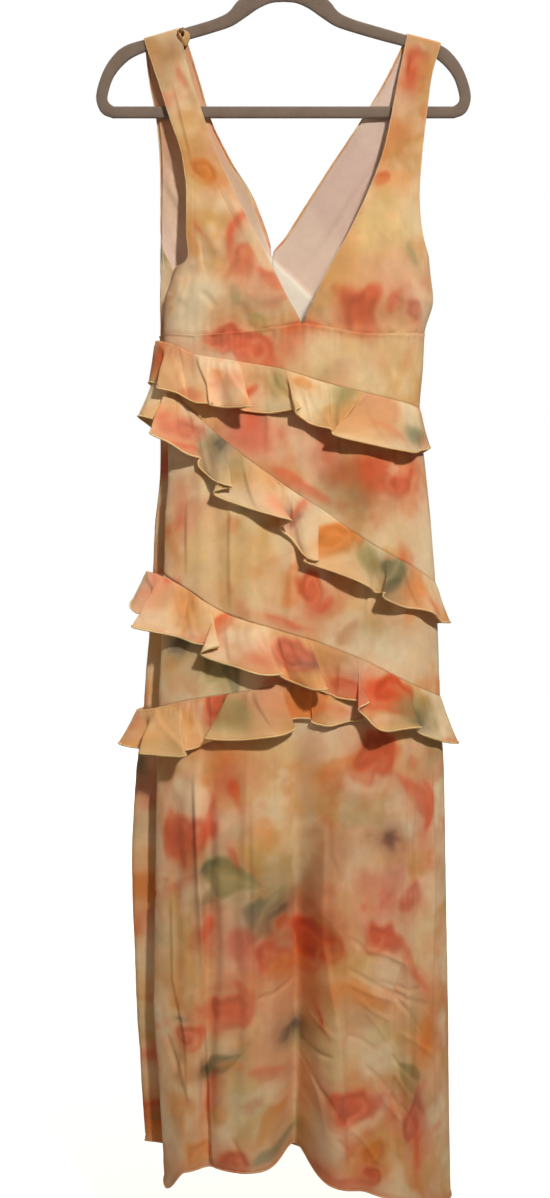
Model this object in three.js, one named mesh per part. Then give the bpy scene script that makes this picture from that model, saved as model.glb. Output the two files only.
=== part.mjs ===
// Sleeveless V-neck maxi dress with four diagonal ruffles, hung on a slim hanger.
// Millimetres, +Z up, the front of the dress looks along -Y.
// The origin is the inside top of the hook, where it rests on a rail.
import * as THREE from 'three';

// Cloth
const CLOTH = 1.2;
const LINING = 1.0;
const SEAM_GAP = 0.3;
const HALF_GAP = SEAM_GAP / 2;
const SIDE_ROUNDNESS = 0.82;
const TUCK_WIDTH = { front: 0.055, back: 0.04 };
const RUFFLE_LIFT = 1.75;
const OVERLAP_LIFT = 2.0;
const OVERLAP = { from: 20, full: 60, falling: 126, to: 150 };

// Hanger
const HANGER_THICK = 5;
const HANGER_EDGE = 2;
const STRAP_RISE = 4.6;
const SHOULDER_SHARE = 0.06;
const HOOK_WIRE = 4;
const HOOK_INSIDE_RADIUS = 20;
const HOOK_STEM_FOOT = -75;

// Sections of the dress from the shoulders to below the hem.
// seam: left side seam; front and back: where each half reaches on the left;
// right: right side; fore and aft: depth of each half.
const SECTIONS = [
  { z: -140, seam: -600, front: -600, back: -600, right: 600, fore: 4.7, aft: 4.7 },
  { z: -166, seam: -600, front: -600, back: -600, right: 600, fore: 4.8, aft: 4.8 },
  { z: -200, seam: -420, front: -420, back: -420, right: 420, fore: 8.5, aft: 8.5 },
  { z: -250, seam: -290, front: -290, back: -290, right: 300, fore: 14, aft: 11 },
  { z: -300, seam: -204, front: -204, back: -204, right: 216, fore: 22, aft: 15 },
  { z: -345, seam: -146, front: -156, back: -152, right: 178, fore: 30, aft: 20 },
  { z: -380, seam: -139, front: -144, back: -152, right: 172, fore: 38, aft: 25 },
  { z: -428, seam: -131, front: -131, back: -153, right: 174, fore: 47, aft: 29 },
  { z: -464, seam: -140, front: -141, back: -153, right: 178, fore: 49, aft: 31 },
  { z: -504, seam: -142, front: -144, back: -152, right: 168, fore: 41, aft: 32 },
  { z: -543, seam: -138, front: -144, back: -152, right: 166, fore: 40, aft: 34 },
  { z: -596, seam: -133, front: -143, back: -152, right: 162, fore: 41, aft: 36 },
  { z: -665, seam: -127, front: -143, back: -153, right: 169, fore: 44, aft: 39 },
  { z: -725, seam: -127, front: -147, back: -159, right: 175, fore: 46, aft: 41 },
  { z: -842, seam: -129, front: -151, back: -166, right: 183, fore: 49, aft: 44 },
  { z: -958, seam: -132, front: -156, back: -175, right: 187, fore: 52, aft: 47 },
  { z: -1023, seam: -134, front: -157, back: -183, right: 191, fore: 53, aft: 48 },
  { z: -1140, seam: -137, front: -159, back: -189, right: 193, fore: 55, aft: 50 },
  { z: -1285, seam: -137, front: -161, back: -184, right: 195, fore: 58, aft: 52 },
  { z: -1367, seam: -134, front: -156, back: -179, right: 196, fore: 60, aft: 54 },
  { z: -1449, seam: -130, front: -151, back: -174, right: 197, fore: 62, aft: 56 },
  { z: -1540, seam: -126, front: -146, back: -169, right: 199, fore: 64, aft: 58 },
];

// Heights of the seams that run round the dress, across its width: the bust seam
// in front and behind, then the seams of the four ruffles.
const SEAMS = [
  { x: -150, front: -504, back: -504, r1: -510, r2: -532, r3: -772, r4: -958 },
  { x: -125, front: -508, back: -506, r1: -521, r2: -569, r3: -788, r4: -949 },
  { x: -100, front: -511, back: -508, r1: -534, r2: -598, r3: -804, r4: -940 },
  { x: -50, front: -509, back: -509, r1: -544, r2: -642, r3: -837, r4: -930 },
  { x: 0, front: -503, back: -510, r1: -553, r2: -681, r3: -854, r4: -920 },
  { x: 22, front: -500, back: -510, r1: -560, r2: -697, r3: -861, r4: -915 },
  { x: 50, front: -503.5, back: -509, r1: -569, r2: -715, r3: -870, r4: -910 },
  { x: 100, front: -510, back: -508, r1: -581, r2: -752, r3: -891, r4: -905 },
  { x: 150, front: -507, back: -506, r1: -592, r2: -781, r3: -918, r4: -905 },
  { x: 200, front: -502, back: -502, r1: -603, r2: -815, r3: -942, r4: -905 },
];

// Hem heights across the width.
const HEMS = [
  { x: -135, front: -1466, back: -1466 },
  { x: -118, front: -1506, back: -1472 },
  { x: -95, front: -1478, back: -1478 },
  { x: -55, front: -1473, back: -1482 },
  { x: -15, front: -1472, back: -1486 },
  { x: 15, front: -1469, back: -1490 },
  { x: 45, front: -1481, back: -1494 },
  { x: 72, front: -1490, back: -1499 },
  { x: 110, front: -1502, back: -1506 },
  { x: 160, front: -1515, back: -1514 },
  { x: 200, front: -1524, back: -1524 },
];

// Long hanging folds: where each lies at its upper and lower end, its half width,
// and how far it stands out (plus) or sinks in (minus) at those ends.
const FOLDS = [
  { side: 'front', zTop: -900, xTop: -112, xLow: -116, wide: 17, top: 0, low: 9 },
  { side: 'front', zTop: -900, xTop: -82, xLow: -86, wide: 13, top: -2, low: -9 },
  { side: 'front', zTop: -700, xTop: -36, xLow: -46, wide: 22, top: 2, low: 7 },
  { side: 'front', zTop: -860, xTop: 14, xLow: 15, wide: 20, top: 0, low: -84 },
  { side: 'front', zTop: -900, xTop: 62, xLow: 60, wide: 20, top: 0, low: 6 },
  { side: 'front', zTop: -700, xTop: 98, xLow: 92, wide: 14, top: -1, low: -7 },
  { side: 'front', zTop: -900, xTop: 146, xLow: 150, wide: 20, top: 1, low: 6 },
  { side: 'front', zTop: -545, xTop: -20, xLow: 30, wide: 26, top: -2, low: 0 },
  { side: 'back', zTop: -880, xTop: -120, xLow: -124, wide: 18, top: 0, low: 8 },
  { side: 'back', zTop: -860, xTop: -72, xLow: -78, wide: 19, top: 0, low: -26 },
  { side: 'back', zTop: -700, xTop: -20, xLow: -14, wide: 24, top: 2, low: 8 },
  { side: 'back', zTop: -860, xTop: 52, xLow: 48, wide: 20, top: 0, low: -30 },
  { side: 'back', zTop: -760, xTop: 104, xLow: 110, wide: 20, top: 1, low: 9 },
  { side: 'back', zTop: -900, xTop: 150, xLow: 152, wide: 13, top: 0, low: -7 },
];
const FOLD_FOOT = -1510;

// Gathers under the bust seam: place across the width and depth.
const GATHERS = [
  { x: -118, front: 1.2, back: 1.0 },
  { x: -103, front: 1.8, back: 1.4 },
  { x: -89, front: 1.3, back: 1.7 },
  { x: -70, front: 1.9, back: 1.2 },
  { x: -54, front: 1.4, back: 1.8 },
  { x: -36, front: 2.0, back: 1.3 },
  { x: -19, front: 1.5, back: 1.6 },
  { x: 3, front: 1.9, back: 1.2 },
  { x: 22, front: 1.1, back: 1.7 },
  { x: 47, front: 1.6, back: 1.4 },
  { x: 68, front: 1.2, back: 1.8 },
  { x: 90, front: 1.7, back: 1.2 },
  { x: 112, front: 1.1, back: 1.6 },
  { x: 134, front: 1.6, back: 1.3 },
];
const GATHER_HALF_WIDTH = 5;
const GATHER_FADE = 26;

// Ruffles: depth at the left side, across the body and at the right side, how far
// the hem stands off at those places, and whether the ruffle lies over the next one.
const RUFFLES = {
  r1: {
    dropLeft: 48, drop: 55, dropRight: 44, left: 11, across: 5, right: 11, over: 0,
  },
  r2: {
    dropLeft: 50, drop: 56, dropRight: 45, left: 24, across: 5, right: 18, over: 0,
  },
  r3: {
    dropLeft: 33, drop: 54, dropRight: 54, left: 17, across: 12, right: 22, over: 1,
  },
  r4: {
    dropLeft: 38, drop: 53, dropRight: 50, left: 20, across: 5, right: 4, over: 0,
  },
};

// Waves of each ruffle: place along the seam, half width, how far the wave
// stands out, leans along the hem and drops the hem.
const WAVES = {
  r1: {
    front: [
      { x: -92, wide: 20, out: 14, lean: 6, drop: 6 },
      { x: -48, wide: 14, out: 18, lean: 10, drop: 4 },
      { x: 4, wide: 16, out: 14, lean: 6, drop: -4 },
      { x: 50, wide: 17, out: 16, lean: 6, drop: 9 },
      { x: 92, wide: 14, out: 15, lean: -13, drop: 0 },
      { x: 128, wide: 18, out: 13, lean: 8, drop: 8 },
    ],
    back: [
      { x: -96, wide: 17, out: 16, lean: -8, drop: 6 },
      { x: -50, wide: 16, out: 14, lean: 9, drop: 3 },
      { x: -4, wide: 15, out: 18, lean: 10, drop: 7 },
      { x: 44, wide: 18, out: 14, lean: -9, drop: 2 },
      { x: 92, wide: 15, out: 17, lean: 9, drop: 7 },
      { x: 134, wide: 15, out: 12, lean: -6, drop: 4 },
    ],
  },
  r2: {
    front: [
      { x: -112, wide: 16, out: 14, lean: 4, drop: 4 },
      { x: -62, wide: 14, out: 19, lean: 9, drop: 3 },
      { x: -10, wide: 17, out: 13, lean: 8, drop: -2 },
      { x: 38, wide: 14, out: 18, lean: 6, drop: 12 },
      { x: 84, wide: 18, out: 15, lean: 8, drop: 6 },
      { x: 122, wide: 13, out: 16, lean: -8, drop: -4 },
      { x: 158, wide: 14, out: 11, lean: 6, drop: -6 },
    ],
    back: [
      { x: -100, wide: 15, out: 15, lean: -7, drop: 5 },
      { x: -52, wide: 17, out: 17, lean: 9, drop: 4 },
      { x: -2, wide: 15, out: 14, lean: 9, drop: 0 },
      { x: 46, wide: 16, out: 18, lean: -8, drop: 8 },
      { x: 92, wide: 15, out: 14, lean: 8, drop: 4 },
      { x: 140, wide: 17, out: 14, lean: -7, drop: 0 },
    ],
  },
  r3: {
    front: [
      { x: -118, wide: 17, out: 11, lean: -5, drop: 10 },
      { x: -66, wide: 15, out: 15, lean: 9, drop: -4 },
      { x: -14, wide: 17, out: 12, lean: 8, drop: 3 },
      { x: 32, wide: 13, out: 17, lean: 9, drop: 5 },
      { x: 88, wide: 16, out: 12, lean: 9, drop: 2 },
      { x: 122, wide: 13, out: 15, lean: -8, drop: 10 },
      { x: 158, wide: 13, out: 8, lean: 6, drop: 2 },
    ],
    back: [
      { x: -106, wide: 16, out: 14, lean: 7, drop: 5 },
      { x: -58, wide: 15, out: 13, lean: -8, drop: 2 },
      { x: -8, wide: 17, out: 16, lean: 8, drop: 6 },
      { x: 42, wide: 14, out: 13, lean: 9, drop: 0 },
      { x: 88, wide: 16, out: 15, lean: -8, drop: 6 },
      { x: 138, wide: 15, out: 12, lean: 6, drop: 2 },
    ],
  },
  r4: {
    front: [
      { x: -100, wide: 16, out: 18, lean: 9, drop: 8 },
      { x: -54, wide: 14, out: 14, lean: -8, drop: 0 },
      { x: -12, wide: 15, out: 14, lean: 7, drop: 0 },
      { x: 26, wide: 13, out: 9, lean: 6, drop: -10 },
      { x: 64, wide: 13, out: 5, lean: -4, drop: 2 },
    ],
    back: [
      { x: -100, wide: 16, out: 16, lean: -8, drop: 6 },
      { x: -54, wide: 15, out: 17, lean: 8, drop: 4 },
      { x: -8, wide: 15, out: 14, lean: 8, drop: 0 },
      { x: 34, wide: 13, out: 8, lean: -5, drop: -6 },
      { x: 68, wide: 13, out: 5, lean: 4, drop: 2 },
    ],
  },
};

// Bodice pieces from the shoulder to the bust seam: outer edge (armhole, then
// side seam) and inner edge (neck, then centre seam). Rows from the armpit row
// down have their outer edge on the side seam.
const BODICE = {
  front_left: {
    side: 'front', outerEnd: 0, armpit: 8,
    rows: [
      { ox: -165, oz: -156.5, ix: -124, iz: -144.4 },
      { ox: -150, oz: -201, ix: -110, iz: -201 },
      { ox: -134, oz: -252, ix: -94, iz: -252 },
      { ox: -119, oz: -299, ix: -77, iz: -300 },
      { ox: -114, oz: -343, ix: -57, iz: -345 },
      { ox: -114, oz: -388, ix: -37, iz: -388 },
      { ox: -112, oz: -414, ix: -23, iz: -415 },
      { ox: -117, oz: -424, ix: -15, iz: -431 },
      { ox: -131, oz: -428, ix: -7, iz: -447 },
      { ox: -140, oz: -452, ix: 2, iz: -465 },
      { ox: -141, oz: -478, ix: 12, iz: -482 },
      { ox: -142, oz: -504, ix: 21.7, iz: -500 },
    ],
  },
  front_right: {
    side: 'front', outerEnd: 1, armpit: 6,
    rows: [
      { ox: 186, oz: -161.4, ix: 147, iz: -151.2 },
      { ox: 175, oz: -200, ix: 137, iz: -199 },
      { ox: 169, oz: -244, ix: 128, iz: -246 },
      { ox: 163, oz: -295, ix: 117, iz: -295 },
      { ox: 160, oz: -345, ix: 99, iz: -342 },
      { ox: 164, oz: -391, ix: 77, iz: -389 },
      { ox: 173, oz: -421, ix: 54, iz: -433 },
      { ox: 178, oz: -464, ix: 38, iz: -466 },
      { ox: 168, oz: -504, ix: 22.3, iz: -500 },
    ],
  },
  back_left: {
    side: 'back', outerEnd: 0, armpit: 5,
    rows: [
      { ox: -165, oz: -156.5, ix: -119, iz: -142.9 },
      { ox: -160, oz: -200, ix: -101, iz: -199 },
      { ox: -152, oz: -243, ix: -88, iz: -243 },
      { ox: -148, oz: -290, ix: -64, iz: -292 },
      { ox: -147, oz: -345, ix: -33, iz: -343 },
      { ox: -153, oz: -428, ix: -14.2, iz: -406 },
      { ox: -153, oz: -464, ix: -14.2, iz: -460 },
      { ox: -152, oz: -504, ix: -14.2, iz: -504 },
    ],
  },
  back_right: {
    side: 'back', outerEnd: 1, armpit: 6,
    rows: [
      { ox: 184, oz: -160.9, ix: 146, iz: -150.9 },
      { ox: 172, oz: -200, ix: 122, iz: -199 },
      { ox: 164, oz: -244, ix: 92, iz: -248 },
      { ox: 157, oz: -295, ix: 56, iz: -301 },
      { ox: 155, oz: -345, ix: 24, iz: -349 },
      { ox: 160, oz: -391, ix: 4, iz: -379 },
      { ox: 173, oz: -421, ix: -13.8, iz: -406 },
      { ox: 178, oz: -464, ix: -13.8, iz: -460 },
      { ox: 168, oz: -504, ix: -13.8, iz: -504 },
    ],
  },
};

// Hanger outline, right half, from the top of the hump round to the lower bar.
const HANGER_OUTER = [
  { x: 0, z: -75 }, { x: 12, z: -76 }, { x: 24, z: -83 }, { x: 40, z: -96 },
  { x: 55, z: -108 }, { x: 66, z: -121 }, { x: 85, z: -130 }, { x: 120, z: -140.4 },
  { x: 155, z: -150.7 }, { x: 187, z: -160.2 }, { x: 203, z: -173 }, { x: 215, z: -192 },
  { x: 222.5, z: -216 }, { x: 221.5, z: -231 }, { x: 215, z: -242 }, { x: 203, z: -247 },
];
const HANGER_INNER = [
  { x: 0, z: -108.5 }, { x: 15, z: -110 }, { x: 30, z: -116.5 }, { x: 46, z: -127.5 },
  { x: 62, z: -137.5 }, { x: 85, z: -145.3 }, { x: 115, z: -154 }, { x: 145, z: -162 },
  { x: 172, z: -171 }, { x: 188, z: -181 }, { x: 202, z: -198 }, { x: 209, z: -219 },
  { x: 208, z: -228 }, { x: 202, z: -233 },
];

const COLOURS = {
  print: 0xe2b184,
  ruffle: 0xe0a878,
  lining: 0xd9bfae,
  flock: 0x8a7b72,
  steel: 0xb9bcc0,
};

const lerp = THREE.MathUtils.lerp;
const clamp = THREE.MathUtils.clamp;
const smoothstep = THREE.MathUtils.smoothstep;
const bell = (d) => Math.exp(-d * d);

// Smooth curve through the rows of a table, without overshoot.
function along(rows, key, column, at) {
  const rising = rows[rows.length - 1][key] > rows[0][key];
  const order = rising ? 1 : -1;
  const last = rows.length - 1;
  if ((at - rows[0][key]) * order <= 0) {
    return rows[0][column];
  }
  if ((at - rows[last][key]) * order >= 0) {
    return rows[last][column];
  }
  let i = 0;
  while ((at - rows[i + 1][key]) * order > 0) {
    i += 1;
  }
  const slope = (k) => {
    const step = rows[k + 1][key] - rows[k][key];
    return (rows[k + 1][column] - rows[k][column]) / step;
  };
  const bend = (k) => {
    if (k <= 0 || k >= last) {
      return slope(clamp(k, 0, last - 1));
    }
    const a = slope(k - 1);
    const b = slope(k);
    return a * b <= 0 ? 0 : (2 * a * b) / (a + b);
  };
  const span = rows[i + 1][key] - rows[i][key];
  const t = (at - rows[i][key]) / span;
  const a = rows[i][column];
  const b = rows[i + 1][column];
  const t2 = t * t;
  const t3 = t2 * t;
  return a * (2 * t3 - 3 * t2 + 1) + b * (3 * t2 - 2 * t3)
    + span * (bend(i) * (t3 - 2 * t2 + t) + bend(i + 1) * (t3 - t2));
}

// Section of the dress at one height.
function section(z) {
  const at = {};
  for (const column of ['seam', 'front', 'back', 'right', 'fore', 'aft']) {
    at[column] = along(SECTIONS, 'z', column, z);
  }
  return at;
}

// Outward movement of the hanging folds at a point of one half.
function foldAt(side, x, z) {
  let sum = 0;
  for (const fold of FOLDS) {
    if (fold.side === side) {
      const t = clamp((z - fold.zTop) / (FOLD_FOOT - fold.zTop), 0, 1);
      const grown = smoothstep(z, fold.zTop, fold.zTop + 60);
      const deep = lerp(fold.top, fold.low, t ** 1.25) * (1 - grown);
      sum += deep * bell((x - lerp(fold.xTop, fold.xLow, t)) / fold.wide);
    }
  }
  return sum;
}

// Point of the dress's outer face: u runs from the left side seam to the right.
// tucked is 1 with the tuck at the left side seam and 0 without it.
function skin(side, u, z, tucked = 1) {
  const at = section(z);
  const front = side === 'front';
  const own = front ? at.front : at.back;
  const bare = lerp(own, at.back, bell(u / 0.12));
  const left = tucked ? own : bare;
  const xi = -Math.cos(Math.PI * u);
  const tuck = tucked * (at.seam - own) * bell(u / TUCK_WIDTH[side]);
  const x = (left + at.right) / 2 + ((at.right - left) / 2) * xi + tuck;
  const rise = Math.max(Math.sin(Math.PI * u), 0) ** SIDE_ROUNDNESS;
  const depth = front ? at.fore : at.aft;
  const edge = smoothstep(u, 0.02, 0.16) * smoothstep(1 - u, 0.02, 0.16);
  const out = HALF_GAP + depth * rise + foldAt(side, x, z) * edge;
  return new THREE.Vector3(x, front ? -out : out, z);
}

// Place across the width that seams are drawn by, the same for both halves.
function widthAt(u, z) {
  const left = along(SECTIONS, 'z', 'seam', z);
  const right = along(SECTIONS, 'z', 'right', z);
  return lerp(left, right, (1 - Math.cos(Math.PI * u)) / 2);
}

// Share u of a point of one half at a given x.
function shareOf(side, x, z) {
  const at = section(z);
  const left = side === 'front' ? at.front : at.back;
  const xi = (x - (left + at.right) / 2) / ((at.right - left) / 2);
  return Math.acos(-clamp(xi, -1, 1)) / Math.PI;
}

// Height of a seam or hem at share u.
function lineAt(rows, column, u, start) {
  let z = start;
  for (let i = 0; i < 6; i += 1) {
    z = along(rows, 'x', column, widthAt(u, z));
  }
  return z;
}
const seamAt = (name, u) => lineAt(SEAMS, name, u, -700);
const hemAt = (side, u) => lineAt(HEMS, side, u, -1490);

// Face normal of a surface f(a, b) worked out from nearby points.
function normalOf(f, a, b, sign) {
  const h = 0.0015;
  const a0 = Math.max(a - h, 0);
  const a1 = Math.min(a + h, 1);
  const b0 = Math.max(b - h, 0);
  const b1 = Math.min(b + h, 1);
  const da = f(a1, b).sub(f(a0, b));
  const db = f(a, b1).sub(f(a, b0));
  return da.cross(db).normalize().multiplyScalar(sign);
}

// Closed wall of cloth: f is its outer face, a runs left to right, b runs down.
function wall(name, side, across, down, f, thick, colour) {
  const sign = side === 'front' ? -1 : 1;
  const columns = across.length - 1;
  const rows = down.length - 1;
  const points = [];
  const inner = [];
  for (const b of down) {
    for (const a of across) {
      const p = f(a, b);
      points.push(p);
      inner.push(p.clone().addScaledVector(normalOf(f, a, b, sign), -thick));
    }
  }
  const faces = [];
  const quad = (p, q, r, s) => {
    if (sign > 0) {
      faces.push(p, q, r, p, r, s);
    } else {
      faces.push(p, r, q, p, s, r);
    }
  };
  const w = columns + 1;
  const n = points.length;
  for (let j = 0; j < rows; j += 1) {
    for (let i = 0; i < columns; i += 1) {
      const k = j * w + i;
      quad(k, k + 1, k + 1 + w, k + w);
      quad(n + k, n + k + w, n + k + w + 1, n + k + 1);
    }
  }
  for (let i = 0; i < columns; i += 1) {
    const low = rows * w + i;
    quad(i, n + i, n + i + 1, i + 1);
    quad(low, low + 1, n + low + 1, n + low);
  }
  for (let j = 0; j < rows; j += 1) {
    const k = j * w;
    const e = k + columns;
    quad(k, k + w, n + k + w, n + k);
    quad(e, n + e, n + e + w, e + w);
  }
  const flat = [];
  for (const p of points.concat(inner)) {
    flat.push(p.x, p.y, p.z);
  }
  const geometry = new THREE.BufferGeometry();
  geometry.setAttribute('position', new THREE.Float32BufferAttribute(flat, 3));
  geometry.setIndex(faces);
  return piece(name, geometry, colour, 0.9, 0);
}

function piece(name, geometry, colour, roughness, metalness) {
  const material = new THREE.MeshStandardMaterial({ color: colour, roughness, metalness });
  const mesh = new THREE.Mesh(geometry, material);
  mesh.name = name;
  return mesh;
}

// Even steps from 0 to 1, and steps that lie closer at both side seams and at the
// middle, where the deepest fold hangs.
const steps = (n) => Array.from({ length: n + 1 }, (_, i) => i / n);
const closer = (a, by) => a - (by * Math.sin(4 * Math.PI * a)) / (4 * Math.PI);
const PANEL_STEPS = steps(40).map((a) => closer(a, 0.42));
const GORE_STEPS = PANEL_STEPS.slice(0, 29);
const MIDRIFF_STEPS = steps(56).map((a) => closer(a, 0.2));
const RUFFLE_STEPS = steps(50).map((a) => closer(a, 0.2));
const SHORT_RUFFLE_STEPS = RUFFLE_STEPS.slice(0, 36);

// Panel between two lines round the dress.
function panel(name, side, across, rows, top, bottom, extra = null) {
  const f = (u, b) => {
    const z = lerp(top(u) - HALF_GAP, bottom(u) + HALF_GAP, b);
    const p = skin(side, u, z);
    if (extra) {
      p.y += (side === 'front' ? -1 : 1) * extra(p.x, top(u) - z, z - bottom(u), u);
    }
    return p;
  };
  return wall(name, side, across, steps(rows), f, CLOTH, COLOURS.print);
}

// Gathers fade away from the seam that they are sewn into and end at the next one.
function gathersOf(side) {
  return (x, below, above, u) => {
    let sum = 0;
    for (const gather of GATHERS) {
      sum += gather[side] * bell((x - gather.x) / GATHER_HALF_WIDTH);
    }
    const edge = smoothstep(u, 0.02, 0.12) * smoothstep(1 - u, 0.02, 0.12);
    const ends = smoothstep(below, 0, 4) * smoothstep(above, 0, 8);
    return sum * edge * ends * Math.exp(-below / GATHER_FADE);
  };
}

// Ruffle hanging from its seam: b runs from the seam to the hem.
function ruffle(name, seam, side, across) {
  const size = RUFFLES[seam];
  const waves = WAVES[seam][side];
  const sign = side === 'front' ? -1 : 1;
  const f = (u, b) => {
    const seamZ = seamAt(seam, u);
    const seamX = widthAt(u, seamZ);
    const edge = smoothstep(u, 0, 0.07) * smoothstep(1 - u, 0, 0.07);
    const leftEnd = bell(u / 0.11);
    const rightEnd = bell((1 - u) / 0.11);
    let out = size.across;
    out += (size.left - size.across) * leftEnd + (size.right - size.across) * rightEnd;
    let drop = size.drop;
    drop += (size.dropLeft - size.drop) * leftEnd + (size.dropRight - size.drop) * rightEnd;
    let lean = 0;
    for (const wave of waves) {
      const g = bell((seamX - wave.x) / wave.wide) * edge;
      out += wave.out * g;
      lean += wave.lean * g;
      drop += wave.drop * g;
    }
    const over = smoothstep(seamX, OVERLAP.from, OVERLAP.full)
      - smoothstep(seamX, OVERLAP.falling, OVERLAP.to);
    const lift = RUFFLE_LIFT + size.over * OVERLAP_LIFT * over;
    const grown = b ** 1.25;
    const z = seamZ - HALF_GAP - drop * b;
    const base = skin(side, u, z, 0);
    const h = 0.004;
    const ahead = skin(side, Math.min(u + h, 1), z, 0);
    const behind = skin(side, Math.max(u - h, 0), z, 0);
    const tangent = ahead.sub(behind).setZ(0).normalize();
    const normal = new THREE.Vector3(-sign * tangent.y, sign * tangent.x, 0);
    base.addScaledVector(normal, lift + out * grown);
    return base.addScaledVector(tangent, lean * b ** 1.6);
  };
  return wall(name, side, across, steps(2), f, CLOTH, COLOURS.ruffle);
}

// Outer face of a bodice piece, from the shoulder seam over the hanger's arm and
// down to the bust seam.
function bodiceFace(cut) {
  const { side, outerEnd, armpit, rows } = cut;
  const last = rows.length - 1;
  const table = rows.map((row, index) => ({ index, ...row }));
  const sign = side === 'front' ? -1 : 1;
  const cloth = (s, v) => {
    const index = v * last;
    const oz = along(table, 'index', 'oz', index);
    const iz = along(table, 'index', 'iz', index);
    const seamed = index >= armpit - 1e-9;
    const ox = along(table, 'index', 'ox', index);
    const outer = seamed ? outerEnd : shareOf(side, ox, oz);
    const inner = shareOf(side, along(table, 'index', 'ix', index), iz);
    const u = lerp(outer, inner, s);
    const rest = lerp(rows[last].oz, rows[last].iz, s);
    const bust = seamAt(side, u) + SEAM_GAP;
    return skin(side, u, lerp(oz, iz, s) + (bust - rest) * v ** 4);
  };
  return (a, b) => {
    const s = outerEnd === 0 ? a : 1 - a;
    if (b >= SHOULDER_SHARE) {
      return cloth(s, (b - SHOULDER_SHARE) / (1 - SHOULDER_SHARE));
    }
    const foot = cloth(s, 0);
    const angle = (1 - b / SHOULDER_SHARE) * (Math.PI / 2);
    const reach = Math.abs(foot.y) - HALF_GAP;
    foot.y = sign * (HALF_GAP + reach * Math.cos(angle));
    foot.z += STRAP_RISE * Math.sin(angle);
    return foot;
  };
}

// Steps down a bodice piece: close ones over the hanger's arm, then even ones.
const overArm = steps(3).slice(0, 3).map((b) => b * SHOULDER_SHARE);
const belowArm = steps(14).map((b) => lerp(SHOULDER_SHARE, 1, b));
const BODICE_STEPS = overArm.concat(belowArm);
const EDGE_STEPS = [0, 0.07, 0.15, 0.25, 0.37, 0.5, 0.63, 0.75, 0.85, 0.93, 1];
const LINING_STEPS = BODICE_STEPS.slice(5);

function bodice(name, cut) {
  const f = bodiceFace(cut);
  return wall(name, cut.side, EDGE_STEPS, BODICE_STEPS, f, CLOTH, COLOURS.print);
}

// Lining on the inside of a back bodice piece, made from that piece's points.
function lining(name, cut) {
  const f = bodiceFace(cut);
  const inside = (a, b) => {
    const depth = CLOTH + SEAM_GAP;
    return f(a, b).addScaledVector(normalOf(f, a, b, 1), -depth);
  };
  return wall(name, cut.side, EDGE_STEPS, LINING_STEPS, inside, LINING, COLOURS.lining);
}

// Smooth outline from the right half of a symmetric table, closed by the bar.
function mirrored(rows) {
  const right = rows.map((row) => new THREE.Vector3(row.x, row.z, 0));
  const left = rows.slice(1).reverse().map((row) => new THREE.Vector3(-row.x, row.z, 0));
  const curve = new THREE.CatmullRomCurve3(left.concat(right), false, 'centripetal');
  return curve.getPoints(56).map((p) => new THREE.Vector2(p.x, p.y));
}

function hanger() {
  const shape = new THREE.Shape(mirrored(HANGER_OUTER));
  shape.holes.push(new THREE.Path(mirrored(HANGER_INNER).reverse()));
  const geometry = new THREE.ExtrudeGeometry(shape, {
    depth: HANGER_THICK - 2 * HANGER_EDGE,
    bevelEnabled: true,
    bevelThickness: HANGER_EDGE,
    bevelSize: HANGER_EDGE,
    bevelOffset: -HANGER_EDGE,
    bevelSegments: 2,
    steps: 1,
  });
  geometry.translate(0, 0, -(HANGER_THICK / 2 - HANGER_EDGE));
  geometry.rotateX(Math.PI / 2);
  return piece('hanger', geometry, COLOURS.flock, 0.95, 0);
}

// Wire hook: a stem that bends to one side and turns over the rail.
function hook() {
  const r = HOOK_INSIDE_RADIUS + HOOK_WIRE / 2;
  const centre = -HOOK_INSIDE_RADIUS;
  const path = [
    new THREE.Vector3(0, 0, HOOK_STEM_FOOT + SEAM_GAP),
    new THREE.Vector3(0, 0, HOOK_STEM_FOOT + 10),
    new THREE.Vector3(1.5, 0, HOOK_STEM_FOOT + 20),
    new THREE.Vector3(9, 0, HOOK_STEM_FOOT + 30),
  ];
  for (const degrees of [-30, -5, 25, 55, 85, 115, 145, 175, 200]) {
    const turn = THREE.MathUtils.degToRad(degrees);
    path.push(new THREE.Vector3(r * Math.cos(turn), 0, centre + r * Math.sin(turn)));
  }
  const wire = new THREE.Shape();
  wire.absarc(0, 0, HOOK_WIRE / 2, 0, 2 * Math.PI);
  const geometry = new THREE.ExtrudeGeometry(wire, {
    steps: 38,
    curveSegments: 4,
    extrudePath: new THREE.CatmullRomCurve3(path),
  });
  return piece('hook', geometry, COLOURS.steel, 0.3, 1);
}

const seam1 = (u) => seamAt('r1', u);
const above1 = (u) => seam1(u) + HALF_GAP;
const seam2 = (u) => seamAt('r2', u);
const seam3 = (u) => seamAt('r3', u);
const seam4 = (u) => Math.min(seamAt('r4', u), seam3(u));

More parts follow.
